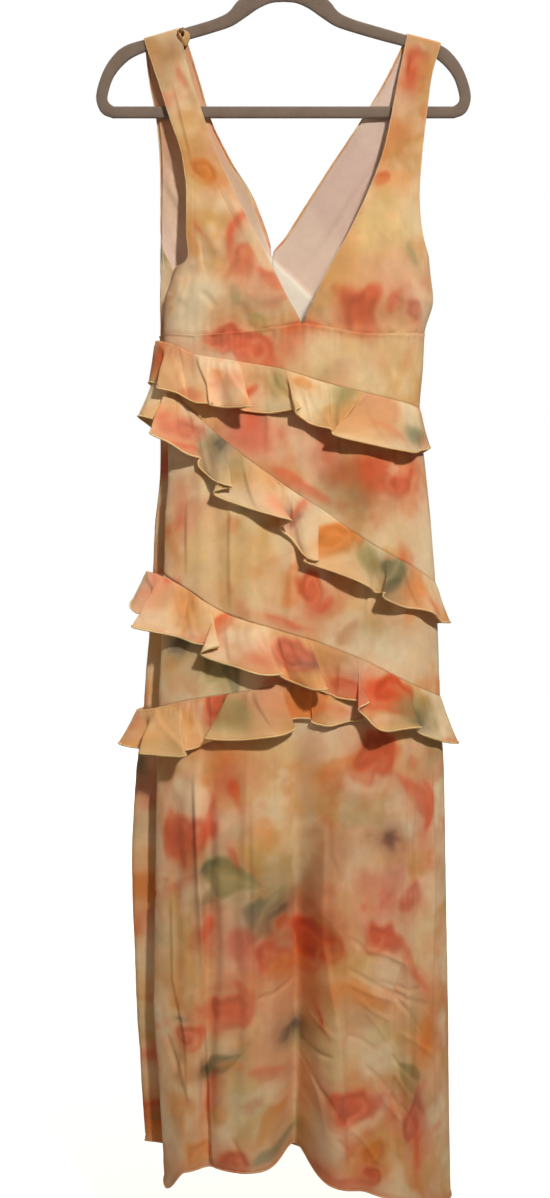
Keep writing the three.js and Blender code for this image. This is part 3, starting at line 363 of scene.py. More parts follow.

# Flowers, petals, leaves and washes of the print: kind, x, z, half length, half width,
# turn in degrees, colour and strength. Given on the front and on each front ruffle.
MOTIFS = {
    "body": [
        ("wash", -114, -279, 23, 16, 70, "ochre", 0.45), ("wash", -130, -241, 21, 16, 60, "blush", 0.4),
        ("wash", -144, -180, 10, 8, 0, "olive", 0.35), ("petal", -119, -196, 10, 5, -60, "coral", 0.55),
        ("rose", -93, -308, 15, 10, -20, "orange", 0.85), ("wash", -75, -322, 14, 12, 0, "orange", 0.5),
        ("petal", -97, -383, 14, 3, -60, "coral", 0.6), ("petal", -110, -397, 17, 6, -80, "orange", 0.6),
        ("petal", -53, -377, 15, 6, 50, "coral", 0.85), ("petal", -59, -402, 24, 7, 85, "coral", 0.85),
        ("rose", -50, -438, 30, 18, 75, "coral", 0.75), ("rose", -25, -460, 25, 23, 30, "blush", 0.7),
        ("petal", -18, -447, 17, 6, -50, "coral", 0.7), ("leaf", -26, -497, 20, 9, -15, "lime", 0.75),
        ("petal", -53, -474, 15, 9, -60, "leaf", 0.6), ("wash", -104, -478, 30, 36, 0, "pale", 1.1),
        ("wash", -75, -495, 17, 12, -20, "orange", 0.5), ("wash", -79, -422, 16, 35, 10, "peach", 0.4),
        ("rose", 148, -202, 23, 14, 80, "coral", 0.9), ("petal", 165, -244, 9, 6, 60, "coral", 0.55),
        ("wash", 131, -263, 17, 14, 0, "orange", 0.5), ("petal", 123, -297, 10, 7, 70, "orange", 0.65),
        ("rose", 116, -325, 10, 9, 0, "flame", 0.85), ("wash", 133, -334, 25, 17, 0, "orange", 0.45),
        ("wash", 100, -384, 28, 15, 70, "ochre", 0.5), ("wash", 120, -405, 30, 29, 0, "cream", 0.6),
        ("wash", 145, -442, 35, 30, 0, "blush", 0.65), ("rose", 89, -487, 27, 24, 0, "coral", 0.9),
        ("petal", 134, -479, 16, 8, 50, "coral", 0.65), ("rose", 169, -487, 20, 12, 80, "rose", 0.65),
        ("petal", 164, -415, 13, 7, -70, "leaf", 0.5), ("wash", 56, -457, 44, 15, 55, "ochre", 0.5),
        ("wash", 134, -503, 23, 10, 0, "peach", 0.5), ("rose", -50, -524, 35, 18, -5, "coral", 0.9),
        ("petal", 23, -507, 20, 6, -8, "flame", 0.85), ("wash", 6, -522, 21, 13, 0, "coral", 0.6),
        ("wash", 45, -530, 23, 17, 0, "pale", 0.6), ("wash", 120, -529, 50, 17, 0, "cream", 0.7),
        ("wash", 111, -568, 42, 21, 0, "pale", 0.6), ("wash", 53, -557, 23, 12, 0, "olive", 0.3),
        ("wash", -37, -629, 28, 16, -20, "rose", 0.75), ("petal", -39, -592, 23, 8, 80, "coral", 0.7),
        ("petal", 48, -654, 35, 13, -68, "rose", 0.75), ("wash", 19, -618, 23, 16, 0, "blush", 0.5),
        ("wash", 119, -675, 46, 22, -5, "flame", 0.9), ("rose", 149, -686, 15, 15, 0, "coral", 0.8),
        ("wash", 102, -701, 21, 17, 0, "rust", 0.55), ("wash", 66, -690, 35, 20, 80, "olive", 0.4),
        ("spot", 139, -667, 8, 7, 0, "pale", 0.6), ("petal", 18, -691, 25, 6, -35, "coral", 0.8),
        ("petal", 143, -771, 15, 8, 75, "flame", 0.8), ("wash", 86, -714, 16, 14, 0, "leaf", 0.3),
        ("wash", 140, -734, 25, 25, 0, "cream", 0.5), ("wash", -132, -734, 32, 10, 85, "coral", 0.5),
        ("wash", -101, -747, 35, 16, 85, "cream", 0.6), ("wash", -44, -781, 58, 28, 85, "ochre", 0.5),
        ("petal", 6, -801, 29, 10, 80, "orange", 0.6), ("rose", 29, -807, 25, 17, 80, "flame", 0.85),
        ("petal", 41, -825, 15, 10, 30, "coral", 0.9), ("petal", -1, -850, 22, 6, -15, "coral", 0.7),
        ("petal", 71, -866, 17, 10, 60, "rust", 0.55), ("wash", 136, -877, 30, 25, 0, "pale", 0.65),
        ("petal", 136, -839, 16, 10, 0, "blush", 0.55), ("petal", 163, -829, 17, 8, 70, "orange", 0.55),
        ("wash", 100, -820, 30, 21, 0, "cream", 0.4), ("spot", -132, -871, 12, 9, 10, "plum", 0.85),
        ("wash", -125, -873, 21, 14, 0, "olive", 0.4), ("leaf", -85, -894, 23, 13, 75, "olive", 0.8),
        ("leaf", -64, -902, 20, 8, -80, "leaf", 0.65), ("petal", -4, -915, 20, 6, 10, "coral", 0.6),
        ("wash", -120, -912, 23, 23, 0, "cream", 0.5), ("wash", -77, -1007, 22, 20, 0, "orange", 0.65),
        ("petal", -57, -1039, 20, 9, -65, "flame", 0.85), ("rose", -121, -1101, 31, 24, 80, "coral", 0.9),
        ("petal", -91, -1071, 29, 9, 70, "coral", 0.8), ("petal", -25, -1089, 20, 14, -70, "orange", 0.55),
        ("petal", -61, -1114, 15, 5, -70, "coral", 0.75), ("petal", -129, -1154, 22, 6, 25, "rose", 0.45),
        ("wash", -134, -1042, 17, 16, 0, "pale", 0.5), ("leaf", -67, -1133, 32, 14, -15, "olive", 0.85),
        ("petal", -86, -1163, 15, 8, 35, "leaf", 0.7), ("leaf", -20, -1184, 35, 20, 60, "leaf", 0.9),
        ("petal", -1, -1192, 17, 7, 65, "moss", 0.8), ("petal", -91, -1129, 10, 6, 30, "moss", 0.7),
        ("petal", -91, -1198, 21, 9, 65, "coral", 0.9), ("petal", -110, -1217, 17, 7, 60, "rose", 0.6),
        ("wash", -53, -1230, 30, 27, 0, "rose", 0.75), ("rose", -20, -1238, 21, 14, 60, "coral", 0.75),
        ("rose", -65, -1293, 27, 16, 10, "coral", 0.85), ("petal", -49, -1271, 17, 5, -35, "coral", 0.65),
        ("rose", -117, -1320, 16, 12, 10, "coral", 0.8), ("spot", -124, -1301, 8, 2, 5, "plum", 0.6),
        ("leaf", -72, -1350, 21, 7, 35, "leaf", 0.8), ("spot", -85, -1363, 8, 6, 20, "moss", 0.75),
        ("petal", -84, -1389, 20, 9, 70, "coral", 0.9), ("petal", -57, -1354, 10, 5, -20, "orange", 0.6),
        ("wash", -20, -1342, 28, 22, 80, "blush", 0.75), ("petal", -19, -1367, 15, 6, 0, "coral", 0.55),
        ("petal", -12, -1420, 22, 10, 55, "orange", 0.75), ("wash", -130, -1409, 23, 17, 60, "orange", 0.6),
        ("rose", -109, -1457, 15, 12, 40, "orange", 0.65), ("rose", -61, -1464, 20, 12, 0, "coral", 0.85),
        ("petal", -14, -1457, 20, 6, 15, "leaf", 0.65), ("wash", -128, -1252, 48, 18, 85, "ochre", 0.45),
        ("wash", -50, -1409, 30, 30, 0, "olive", 0.25), ("wash", 33, -1059, 25, 14, 85, "pale", 0.65),
        ("rose", 106, -999, 29, 23, 0, "flame", 0.85), ("petal", 66, -1012, 15, 10, 40, "orange", 0.6),
        ("petal", 160, -1045, 31, 9, -60, "coral", 0.8), ("petal", 178, -1065, 28, 6, -80, "coral", 0.9),
        ("spot", 126, -1096, 12, 10, 15, "plum", 0.9), ("wash", 123, -1099, 23, 15, 0, "rust", 0.35),
        ("wash", 53, -1134, 60, 17, 85, "rust", 0.5), ("wash", 103, -1129, 23, 15, 80, "cream", 0.6),
        ("wash", 119, -1158, 31, 25, 0, "rose", 0.6), ("rose", 113, -1198, 21, 17, 0, "coral", 0.95),
        ("rose", 163, -1164, 20, 16, 70, "rose", 0.8), ("rose", 29, -1210, 23, 21, 30, "flame", 0.95),
        ("petal", 48, -1196, 17, 8, -80, "rust", 0.8), ("petal", 4, -1240, 20, 9, 50, "orange", 0.75),
        ("petal", 89, -1282, 31, 13, -25, "orange", 0.8), ("spot", 14, -1322, 12, 9, 0, "plum", 0.85),
        ("wash", 19, -1339, 18, 14, 0, "olive", 0.4), ("petal", 46, -1296, 18, 3, -75, "flame", 0.85),
        ("wash", 173, -1326, 29, 13, 80, "orange", 0.85), ("petal", 158, -1247, 33, 7, -65, "coral", 0.75),
        ("leaf", 155, -1369, 23, 9, -50, "olive", 0.8), ("petal", 170, -1401, 12, 6, -70, "leaf", 0.6),
        ("rose", 83, -1399, 25, 20, 0, "coral", 0.9), ("petal", 119, -1396, 10, 7, 80, "rose", 0.55),
        ("rose", 160, -1417, 27, 16, 75, "rose", 0.85), ("petal", 161, -1454, 20, 7, 85, "coral", 0.8),
        ("rose", 103, -1453, 20, 16, 60, "orange", 0.85), ("rose", 102, -1480, 12, 10, 0, "coral", 0.8),
        ("petal", 76, -1492, 21, 8, -15, "rose", 0.7), ("wash", 53, -1480, 18, 14, -40, "coral", 0.6),
        ("wash", 86, -1333, 21, 18, 0, "pale", 0.6), ("wash", 170, -1217, 37, 12, 85, "cream", 0.5),
        ("wash", 71, -1236, 21, 16, 0, "ochre", 0.4), ("wash", -14, -1285, 28, 21, 0, "blush", 0.4),
        ("wash", 180, -1478, 18, 14, 0, "ochre", 0.5), ("wash", -110, -468, 24, 28, 0, "pale", 0.9),
        ("wash", -126, -492, 22, 14, 0, "pale", 0.9), ("wash", 124, -384, 30, 34, 0, "gold", 0.6),
        ("wash", -148, -186, 26, 22, 60, "rust", 0.4), ("wash", -118, -262, 30, 20, 70, "ochre", 0.4),
        ("wash", 170, -215, 34, 14, 80, "ochre", 0.55), ("wash", 132, -276, 30, 22, 0, "rust", 0.22),
    ],
    "r1": [
        # The rust wash at the left end is partly the print's red and partly painted shade, where the turned
        # end hangs in shade.
        ("wash", -166, -540, 15, 22, 0, "rust", 0.9), ("petal", -158, -532, 13, 6, 75, "flame", 0.7),
        ("wash", -121, -579, 16, 9, -20, "coral", 0.55), ("wash", -70, -566, 25, 16, 0, "blush", 0.45),
        ("rose", -40, -584, 13, 8, 60, "flame", 0.9), ("wash", -9, -576, 22, 15, 70, "olive", 0.65),
        ("petal", 26, -576, 14, 7, -25, "orange", 0.65), ("wash", 71, -592, 26, 13, 70, "olive", 0.85),
        ("wash", 118, -618, 23, 16, 0, "peach", 0.5), ("petal", 125, -626, 16, 5, -40, "coral", 0.35),
        ("wash", 157, -626, 18, 16, 0, "leaf", 0.75),
    ],
    "r2": [
        ("rose", -121, -617, 20, 15, 0, "rose", 0.75), ("petal", -124, -644, 16, 5, -20, "coral", 0.75),
        ("wash", -82, -644, 26, 18, 60, "olive", 0.8), ("spot", -77, -642, 19, 11, 70, "plum", 1.0),
        ("wash", -55, -675, 14, 14, 0, "olive", 0.6), ("wash", -37, -682, 16, 14, 0, "peach", 0.6),
        ("petal", -16, -717, 17, 9, -45, "coral", 0.5), ("spot", 11, -724, 10, 9, 0, "plum", 0.45),
        ("petal", 20, -717, 13, 6, 60, "coral", 0.7), ("rose", 66, -756, 24, 16, 20, "orange", 0.95),
        ("wash", 99, -779, 18, 15, 0, "olive", 0.8), ("leaf", 130, -789, 20, 11, 60, "leaf", 0.95),
        ("petal", 130, -806, 14, 8, 50, "moss", 0.85), ("wash", 153, -811, 16, 14, 0, "orange", 0.55),
        ("petal", 177, -837, 14, 7, -40, "coral", 0.55),
    ],
    "r3": [
        ("wash", -172, -802, 13, 20, 0, "rose", 0.75),
        ("petal", -151, -794, 16, 7, 70, "coral", 0.85),
        ("wash", -120, -820, 21, 16, 0, "orange", 0.45),
        ("petal", -70, -850, 20, 6, 70, "flame", 0.8), ("wash", -34, -892, 17, 9, -15, "coral", 0.55),
        ("rose", 6, -885, 20, 14, 0, "rose", 0.85), ("spot", 19, -891, 8, 7, 0, "plum", 0.5),
        ("wash", 40, -884, 12, 14, 0, "ochre", 0.5), ("wash", 76, -902, 16, 12, 0, "plum", 0.3),
        ("rose", 63, -917, 15, 13, 0, "coral", 0.65), ("rose", 123, -924, 25, 17, -20, "flame", 0.95),
        ("spot", 160, -962, 12, 10, 30, "plum", 0.95), ("wash", 158, -950, 18, 16, 0, "olive", 0.7),
    ],
    "r4": [
        ("wash", -154, -979, 25, 16, 0, "peach", 0.5), ("wash", -129, -976, 21, 16, 0, "ochre", 0.45),
        ("rose", -80, -944, 25, 17, 20, "coral", 0.95), ("wash", -52, -952, 17, 14, 60, "olive", 0.75),
        ("wash", -14, -945, 18, 12, 0, "blush", 0.5), ("wash", 0, -961, 16, 9, 0, "olive", 0.5),
        ("petal", 40, -938, 14, 9, 30, "orange", 0.5), ("petal", 65, -948, 16, 7, -20, "coral", 0.55),
    ],
}

# Clouds of the print's ground: colour, size, where they start and how strong they get.
GROUND = (
    ("ochre", 62, 0.05, 0.55), ("shell", 58, -0.2, 0.65), ("blush", 54, 0.05, 0.6),
    ("orange", 48, 0.35, 0.45),
    ("pale", 46, -0.1, 0.85), ("olive", 70, 0.3, 0.35), ("coral", 31, 0.4, 0.35), ("pale", 25, 0.25, 0.5),
)

# Scattered print: kind, half length, half width and colours, then the order in which the kinds come.
SCATTER = [
    ("wash", 26, 18, ("cream", "ochre", "blush", "pale", "orange", "rose")),
    ("rose", 22, 16, ("coral", "rose", "flame", "orange")),
    ("petal", 20, 7, ("coral", "orange", "rose", "flame", "leaf")),
    ("leaf", 24, 10, ("olive", "leaf", "lime")),
    ("spot", 11, 9, ("plum", "moss")),
]
SCATTER_PATTERN = (0, 1, 2, 0, 2, 1, 3, 0, 2, 4, 1, 2)

# Colours of the other finishes, as screen values.
FINISH = {
    "sheen": (255, 232, 208), "satin_pink": (244, 218, 200), "satin_cream": (250, 232, 218),
    "hem_gold": (244, 214, 150), "flock_deep": (112, 96, 84), "flock_brushed": (148, 130, 117),
    "flock_tips": (168, 150, 136), "steel_grey": (196, 198, 202), "steel_pale": (226, 226, 228),
    "thread_deep": (244, 234, 222), "thread_light": (255, 252, 246), "floor_deep": (244, 243, 241),
    "floor_light": (250, 249, 248), "floor_unseen": (150, 146, 142),
}

# Long folds, creases and pressed lines: gains, reaches of their ends, and how far down the straps stop
# lying calm on the hanger.
FOLD_POWER = 1.25
FOLD_START = 60
CREASE_GAIN = 2.0
FINE_CREASE_GAIN = 2.4
FINE_CREASES_BELOW = -1100
CREASE_ENDS = 0.2
LONG_CREASE = 200
LONG_CREASE_WIDER = 1.3
LONG_CREASE_WANDER = 4
PRESSED_GAIN = 1.75
PRESSED_ENDS = 45
PRESSED_EDGE = 2.2
CALM_STRAPS = (172, 215)

# Seams and edges: reach of the calm sides, height and reach of the gathers, width of the facings,
# and rows of points over the shoulder.
SIDE_REACH = 0.05
MIDRIFF_GATHER = 4.0
MIDRIFF_GATHER_REACH = 10
BODICE_GATHER = 3.2
BODICE_GATHER_REACH = 11
NECK_FACING = 16
ARMHOLE_FACING = 9
SHOULDER_ROWS = 8

# Ruffles. FOLD_PEAK is the largest value of d times the bell of d, so that an overlap is given in
# millimetres.
RUFFLE_SIDE = 0.07
RUFFLE_END = 0.11
WAVE_OUT = 1.3
WAVE_LEAN = 1.25
FOLD_PEAK = 0.43
FOLD_DRAWS_UP = 5
RUFFLE_GATHER = 2.2
RUFFLE_GATHER_REACH = 12
RUFFLE_CREASE_GAIN = 0.7
RUFFLE_CREASE_EDGE = 1.5
PLEAT_GAIN = 1.7

# Print: how far a motif spreads and is worked out, in its own half sizes, its ink and its bleed.
MOTIF_SPREAD = 1.25
MOTIF_REACH = 3.2
INK = 0.88
BLEED = 0.4

# Points of the noise's lattice, a length that counts as nothing, and the first guesses and rounds that
# find a seam's or a hem's height.
LATTICE = 64
TINY = 1e-9
SEAM_GUESS = -700.0
HEM_GUESS = -1490.0
LINE_ROUNDS = 6


def mix(a, b, t):
    """Straight blend from a at t = 0 to b at t = 1."""
    return a + (b - a) * t


def smooth(x, low, high):
    """S-curve from 0 at low to 1 at high."""
    t = np.clip((x - low) / (high - low), 0, 1)
    return t * t * (3 - 2 * t)


def bell(d):
    """1 at 0, falling off as e to minus d squared."""
    return np.exp(-d * d)


def end_fade(t, reach):
    """0 at both ends of the stretch from 0 to 1, rising to 1 within a reach of each."""
    return smooth(t, 0, reach) * smooth(1 - t, 0, reach)


def unit(directions):
    """Directions of length 1."""
    return directions / np.maximum(np.linalg.norm(directions, axis=-1, keepdims=True), TINY)


def run_along(path):
    """Length along a path up to each of its points."""
    return np.concatenate([[0], np.cumsum(np.linalg.norm(np.diff(path, axis=0), axis=1))])


def points_along(path, run, at):
    """Points of a path at given lengths along it."""
    return np.stack([np.interp(at, run, column) for column in path.T], -1)


def along(rows, key, column, at):
    """Smooth curve through a table's rows without overshoot: cubic pieces whose slope at a row is
    the harmonic mean of the slopes beside it, or level where those differ in sign."""
    k, v = rows[key], rows[column]
    if k[-1] < k[0]:
        k, v = k[::-1], v[::-1]
    span = np.diff(k)
    slope = np.diff(v) / span
    a, b = slope[:-1], slope[1:]
    same = a * b > 0
    bend = np.empty_like(v)
    bend[1:-1] = np.where(same, 2 * a * b / np.where(same, a + b, 1), 0)
    bend[0], bend[-1] = slope[0], slope[-1]
    at = np.clip(at, k[0], k[-1])
    i = np.clip(np.searchsorted(k, at, side="right") - 1, 0, len(k) - 2)
    t = (at - k[i]) / span[i]
    t2, t3 = t * t, t * t * t
    ends = v[i] * (2 * t3 - 3 * t2 + 1) + v[i + 1] * (3 * t2 - 2 * t3)
    return ends + span[i] * (bend[i] * (t3 - 2 * t2 + t) + bend[i + 1] * (t3 - t2))


def noise(p, q, scale, seed):
    """Random heights from -1 to 1 on a turned square lattice, blended with an S-curve between points."""
    lattice = np.random.default_rng(seed).uniform(-1, 1, (LATTICE, LATTICE))
    p, q = (0.92 * p + 0.39 * q) / scale, (0.92 * q - 0.39 * p) / scale
    i, j = np.floor(p).astype(int), np.floor(q).astype(int)
    s, t = smooth(p - i, 0, 1), smooth(q - j, 0, 1)
    i0, i1 = i % LATTICE, (i + 1) % LATTICE
    j0, j1 = j % LATTICE, (j + 1) % LATTICE
    lower = mix(lattice[i0, j0], lattice[i1, j0], s)
    upper = mix(lattice[i0, j1], lattice[i1, j1], s)
    return mix(lower, upper, t)


def clouds(p, q, scale, seed):
    """Three layers of noise, each half the size and half the height of the one before."""
    layers = [noise(p, q, scale / 2**k, seed + 11 * k) / 2**k for k in range(3)]
    return sum(layers) / 1.4


def fold_depth(side, x, z):
    """Long hanging folds: a bell across the width that deepens from its upper end to the foot."""
    total = np.zeros_like(x)
    for z_top, x_top, x_low, wide, top, low in FOLDS[side]:
        t = np.clip((z - z_top) / (FOLD_FOOT - z_top), 0, 1)
        deep = mix(top, low, t**FOLD_POWER) * (1 - smooth(z, z_top, z_top + FOLD_START))
        total += deep * bell((x - mix(x_top, x_low, t)) / wide)
    return total


def skin(side, u, z, tucked=1.0):
    """Points of the dress's face and their places on the unrolled cloth. u turns half round the
    dress: x runs with -cos, the depth with a power of sin, and the long folds move it out or in.
    The left seam is drawn in where tucked is 1, and the ruffles, where it is 0, pass over it."""
    at = {c: along(SECTIONS, "z", c, z) for c in ("seam", "front", "back", "right", "fore", "aft")}
    own = at[side]
    left = own if tucked else mix(own, at["back"], bell(u / LEFT_BLEND))
    xi = -np.cos(np.pi * u)
    x = (left + at["right"]) / 2 + (at["right"] - left) / 2 * xi
    x = x + tucked * (at["seam"] - own) * bell(u / TUCK_WIDTH[side])
    rise = np.maximum(np.sin(np.pi * u), 0) ** SIDE_ROUNDNESS
    depth = at["fore"] if side == "front" else at["aft"]
    edge = smooth(u, *FOLDLESS_SIDE) * smooth(1 - u, *FOLDLESS_SIDE)
    out = HALF_GAP + depth * rise + fold_depth(side, x, z) * edge
    points = np.stack([x, OUTWARD[side] * out, z + 0 * x], -1)
    return points, x + SIDE_UNROLL * xi * depth * (1 - rise)


def width_at(u, z):
    """Place across the dress: x runs from the left seam to the right side with -cos of the half turn."""
    left, right = along(SECTIONS, "z", "seam", z), along(SECTIONS, "z", "right", z)
    return mix(left, right, (1 - np.cos(np.pi * u)) / 2)


def share_of(side, x, z):
    """Share of the half turn at a place x, the inverse of -cos."""
    left, right = along(SECTIONS, "z", side, z), along(SECTIONS, "z", "right", z)
    return np.arccos(-np.clip((2 * x - left - right) / (right - left), -1, 1)) / np.pi


def line_at(rows, column, u):
    """Height of a seam or hem, which its table gives across a width that itself changes with
    height, so it is found in a few rounds."""
    z = np.full_like(u, SEAM_GUESS if rows is SEAMS else HEM_GUESS)
    for _ in range(LINE_ROUNDS):
        z = along(rows, "x", column, width_at(u, z))
    return z


def creases(side, x, z):
    """Each crease is a bell across a bowed line, times its depth, fading at both ends. Long ones are
    wider and wander."""
    total = np.zeros_like(x)
    for x0, z0, x1, z1, wide, deep, bow in CREASES[side]:
        length = math.hypot(x1 - x0, z1 - z0)
        ex, ez = (x1 - x0) / length, (z1 - z0) / length
        t = ((x - x0) * ex + (z - z0) * ez) / length
        off = (z - z0) * ex - (x - x0) * ez - bow * np.sin(np.pi * np.clip(t, 0, 1))
        gain = FINE_CREASE_GAIN if z0 < FINE_CREASES_BELOW else CREASE_GAIN
        if length > LONG_CREASE:
            off = off + LONG_CREASE_WANDER * noise(z + 37 * x0, 0 * z, 90, 33)
            wide = LONG_CREASE_WIDER * wide
            gain = CREASE_GAIN
        total += gain * deep * end_fade(t, CREASE_ENDS) * bell(off / wide)
    return total


def crest(off, fade, edge):
    """Crest at 0 that falls away slowly to the side that fade gives and sharply to the other."""
    off = off * math.copysign(1, fade)
    return np.where(off > 0, np.exp(-np.maximum(off, 0) / abs(fade)), bell(off / edge))


def pressed(side, x, z):
    """Pressed lines: each a crest along its points, fading at both ends."""
    total = np.zeros_like(x)
    for line, high, fade in PRESSED[side]:
        line_x, line_z = np.array(line, float).T
        ends = smooth(line_z[0] - z, 0, PRESSED_ENDS) * smooth(z - line_z[-1], 0, PRESSED_ENDS)
        off = x - np.interp(-z, -line_z, line_x)
        total += PRESSED_GAIN * high * crest(off, fade, PRESSED_EDGE) * ends
    return total


def relief(side, x, z):
    """Creases, pressed lines and the slight unevenness of thin cloth, calm where the straps lie on
    the hanger."""
    seed = 21 if side == "front" else 57
    uneven = 0.9 * clouds(x, 0.4 * z, 30, seed) + 0.3 * noise(x, 0.8 * z, 9, seed + 4)
    return (creases(side, x, z) + pressed(side, x, z) + uneven) * smooth(-z, *CALM_STRAPS)


def gather_ticks(x, seed):
    """Small uneven gathers along a seam, about 9 mm apart."""
    return np.maximum(noise(x, 0 * x, 4.6, seed) + 0.35 * noise(x, 0 * x, 2.6, seed + 1), -0.4)


def outward(points, side):
    """Normals of a grid of points that point away from the body."""
    normal = np.cross(np.gradient(points, axis=1), np.gradient(points, axis=0))
    return unit(normal) * OUTWARD[side]


def screen(name):
    """One of the print's colours, as screen values from 0 to 1."""
    return np.array(PALETTE[name]) / 255


def linear(colour):
    """Screen values as light values."""
    return np.where(colour <= 0.04045, colour / 12.92, ((colour + 0.055) / 1.055) ** 2.4)


def scattered(seed, count, x_range, z_range):
    """Motifs of the hidden side: kinds and colours in turn, places and turns at random."""
    draw = np.random.default_rng(seed)
    rows = []
    for k in range(count):
        kind, long, wide, colours = SCATTER[SCATTER_PATTERN[k % len(SCATTER_PATTERN)]]
        x, z = draw.uniform(*x_range), draw.uniform(*z_range)
        size, turn = draw.uniform(0.75, 1.3), draw.uniform(-90, 90)
        colour = colours[draw.integers(len(colours))]
        rows.append((kind, x, z, long * size, wide * size, turn, colour, draw.uniform(0.55, 0.95)))
    return rows


def motif(kind, a, b, ragged):
    """Cover and shade of one motif at places a, b measured in its half length and half width.
    Washes fade out softly, roses have whorled petals, petals are fuller on one side, leaves are
    pointed with a pale rib, spots are ragged."""
    r, angle = np.hypot(a, b), np.arctan2(b, a)
    if kind == "wash":
        return smooth(1.5 - r - 0.5 * ragged, 0, 1.3), 0.25 * ragged
    if kind == "rose":
        whorl = np.sin(6.5 * r + angle + 5 * ragged) * smooth(r, 0.1, 0.5)
        return smooth(1.4 - r - 0.6 * ragged, 0, 0.85), 0.5 * whorl - 0.1 + 0.5 * smooth(r, 0.5, 1.1)
    if kind == "petal":
        full = 0.5 + 0.5 * smooth(b + 0.6 * ragged, -1, 0.6)
        return smooth(1.4 - r - 0.5 * ragged, 0, 0.85) * full, 0.5 * b
    if kind == "leaf":
        pointed = np.hypot(a, b / np.maximum(1.1 - a * a, 0.12))
        rib = bell(b / 0.22)
        return smooth(1.35 - pointed - 0.5 * ragged, 0, 0.7), 0.45 * rib - 0.7 * smooth(b, -0.2, 0.9)
    star = r * (1 + 0.14 * np.cos(5 * angle + 5 * ragged))
    return smooth(1.35 - star - 0.7 * ragged, 0, 1.25), 0.3 * ragged


def painted(p, q, motifs, seed):
    """Blurred print at places p, q on the cloth: clouds of the pale ground colours, then the motifs
    one over another, drawn on places that wander by noise so that their edges bleed."""
    warm = smooth(clouds(p, q, 90, seed), -0.5, 0.5)
    ground = mix(screen("peach"), screen("cream"), warm[..., None])
    for name, scale, low, full in GROUND:
        share = full * smooth(clouds(p, q, scale, seed + scale), low, low + 0.6)
        ground = mix(ground, screen(name), share[..., None])
    wp = p + 9 * noise(p, q, 52, seed + 1) + 2.5 * noise(p, q, 19, seed + 2)
    wq = q + 9 * noise(p, q, 52, seed + 3) + 2.5 * noise(p, q, 19, seed + 4)
    ragged = 0.75 * noise(p, q, 26, seed + 5) + 0.3 * noise(p, 0.5 * q, 9, seed + 8)
    for kind, x, z, long, wide, turn, name, strength in motifs:
        reach = MOTIF_REACH * max(long, wide)
        near = (np.abs(wp - x) < reach) & (np.abs(wq - z) < reach)
        if near.any():
            c, s = math.cos(math.radians(turn)), math.sin(math.radians(turn))
            dx, dz = wp[near] - x, wq[near] - z
            a = (c * dx + s * dz) / (MOTIF_SPREAD * long)
            b = (c * dz - s * dx) / (MOTIF_SPREAD * wide)
            bleed = BLEED * strength * bell(np.hypot(a, b) / 1.5)
            cover, shade = motif(kind, a, b, ragged[near])
            paler = mix(screen(name), screen("cream"), np.clip(shade, 0, 1)[:, None] * 0.55)
            tone = paler * (1 + 0.22 * np.minimum(shade, 0)[:, None])
            cover = np.maximum(INK * strength * cover, bleed)
            ground[near] = mix(ground[near], tone, cover[:, None])
    grain = 1 + 0.012 * noise(p, 0.6 * q, 5, seed + 6) + 0.03 * clouds(p, q, 22, seed + 7)
    return np.clip(ground * grain[..., None], 0, 1)


def across(count, end=1.0):
    """Even steps across the width, drawn a little closer at both sides, where the cloth turns."""
    w = np.linspace(0, 1, count + 1)
    u = 0.6 * np.arccos(1 - 2 * w) / np.pi + 0.4 * w
    return u * end


def side_fade(u):
    """0 at both side seams, 1 between them."""
    return end_fade(u, SIDE_REACH)


def seam_fade(u):
    """Where a seam is gathered: not at the sides, and the left side is calm for longer."""
    return smooth(u, 0.14, 0.34) * smooth(1 - u, 0.04, 0.16)


def panel(side, top, bottom, columns, rows, end=1.0, gathered=False, turned_hem=False):
    """Panel between two seams: the dress's face there, moved out along its normals by the creases,
    drawn in beside both seams, and gathered under the bust seam where it is the midriff, whose
    upper edge is turned over the bodice's. The skirt's hem is turned up."""
    u, b = np.meshgrid(across(columns, end), np.linspace(0, 1, rows + 1))
    z_top, z_low = top(u), bottom(u)
    z = mix(z_top - HALF_GAP, z_low + HALF_GAP, b)
    points, place = skin(side, u, z)
    x, below, above = points[..., 0], z_top - z, z - z_low
    lift = relief(side, x, z) * side_fade(u)
    ends = smooth(below, 0, 9) * smooth(above, 0, 9)
    lift = lift * mix(0.35, 1.0, ends) - 0.15 * bell(above / 2)
    if turned_hem:
        lift = lift - 0.5 * bell((above - HEM_TURN) / 1.6)
        lift = lift + 0.4 * (1 - smooth(above, HEM_TURN - 3, HEM_TURN))
    if gathered:
        fading = np.exp(-np.maximum(below, 0) / MIDRIFF_GATHER_REACH) * smooth(above, 0, 8)
        ticks = gather_ticks(place, 5) * fading
        lift = lift + MIDRIFF_GATHER * (ticks - 0.1) * smooth(below, 0.5, 4) * seam_fade(u)
        lift = lift + 1.2 * bell(below / 1.8) * side_fade(u)
    points = points + outward(points, side) * lift[..., None]
    return points, place, z


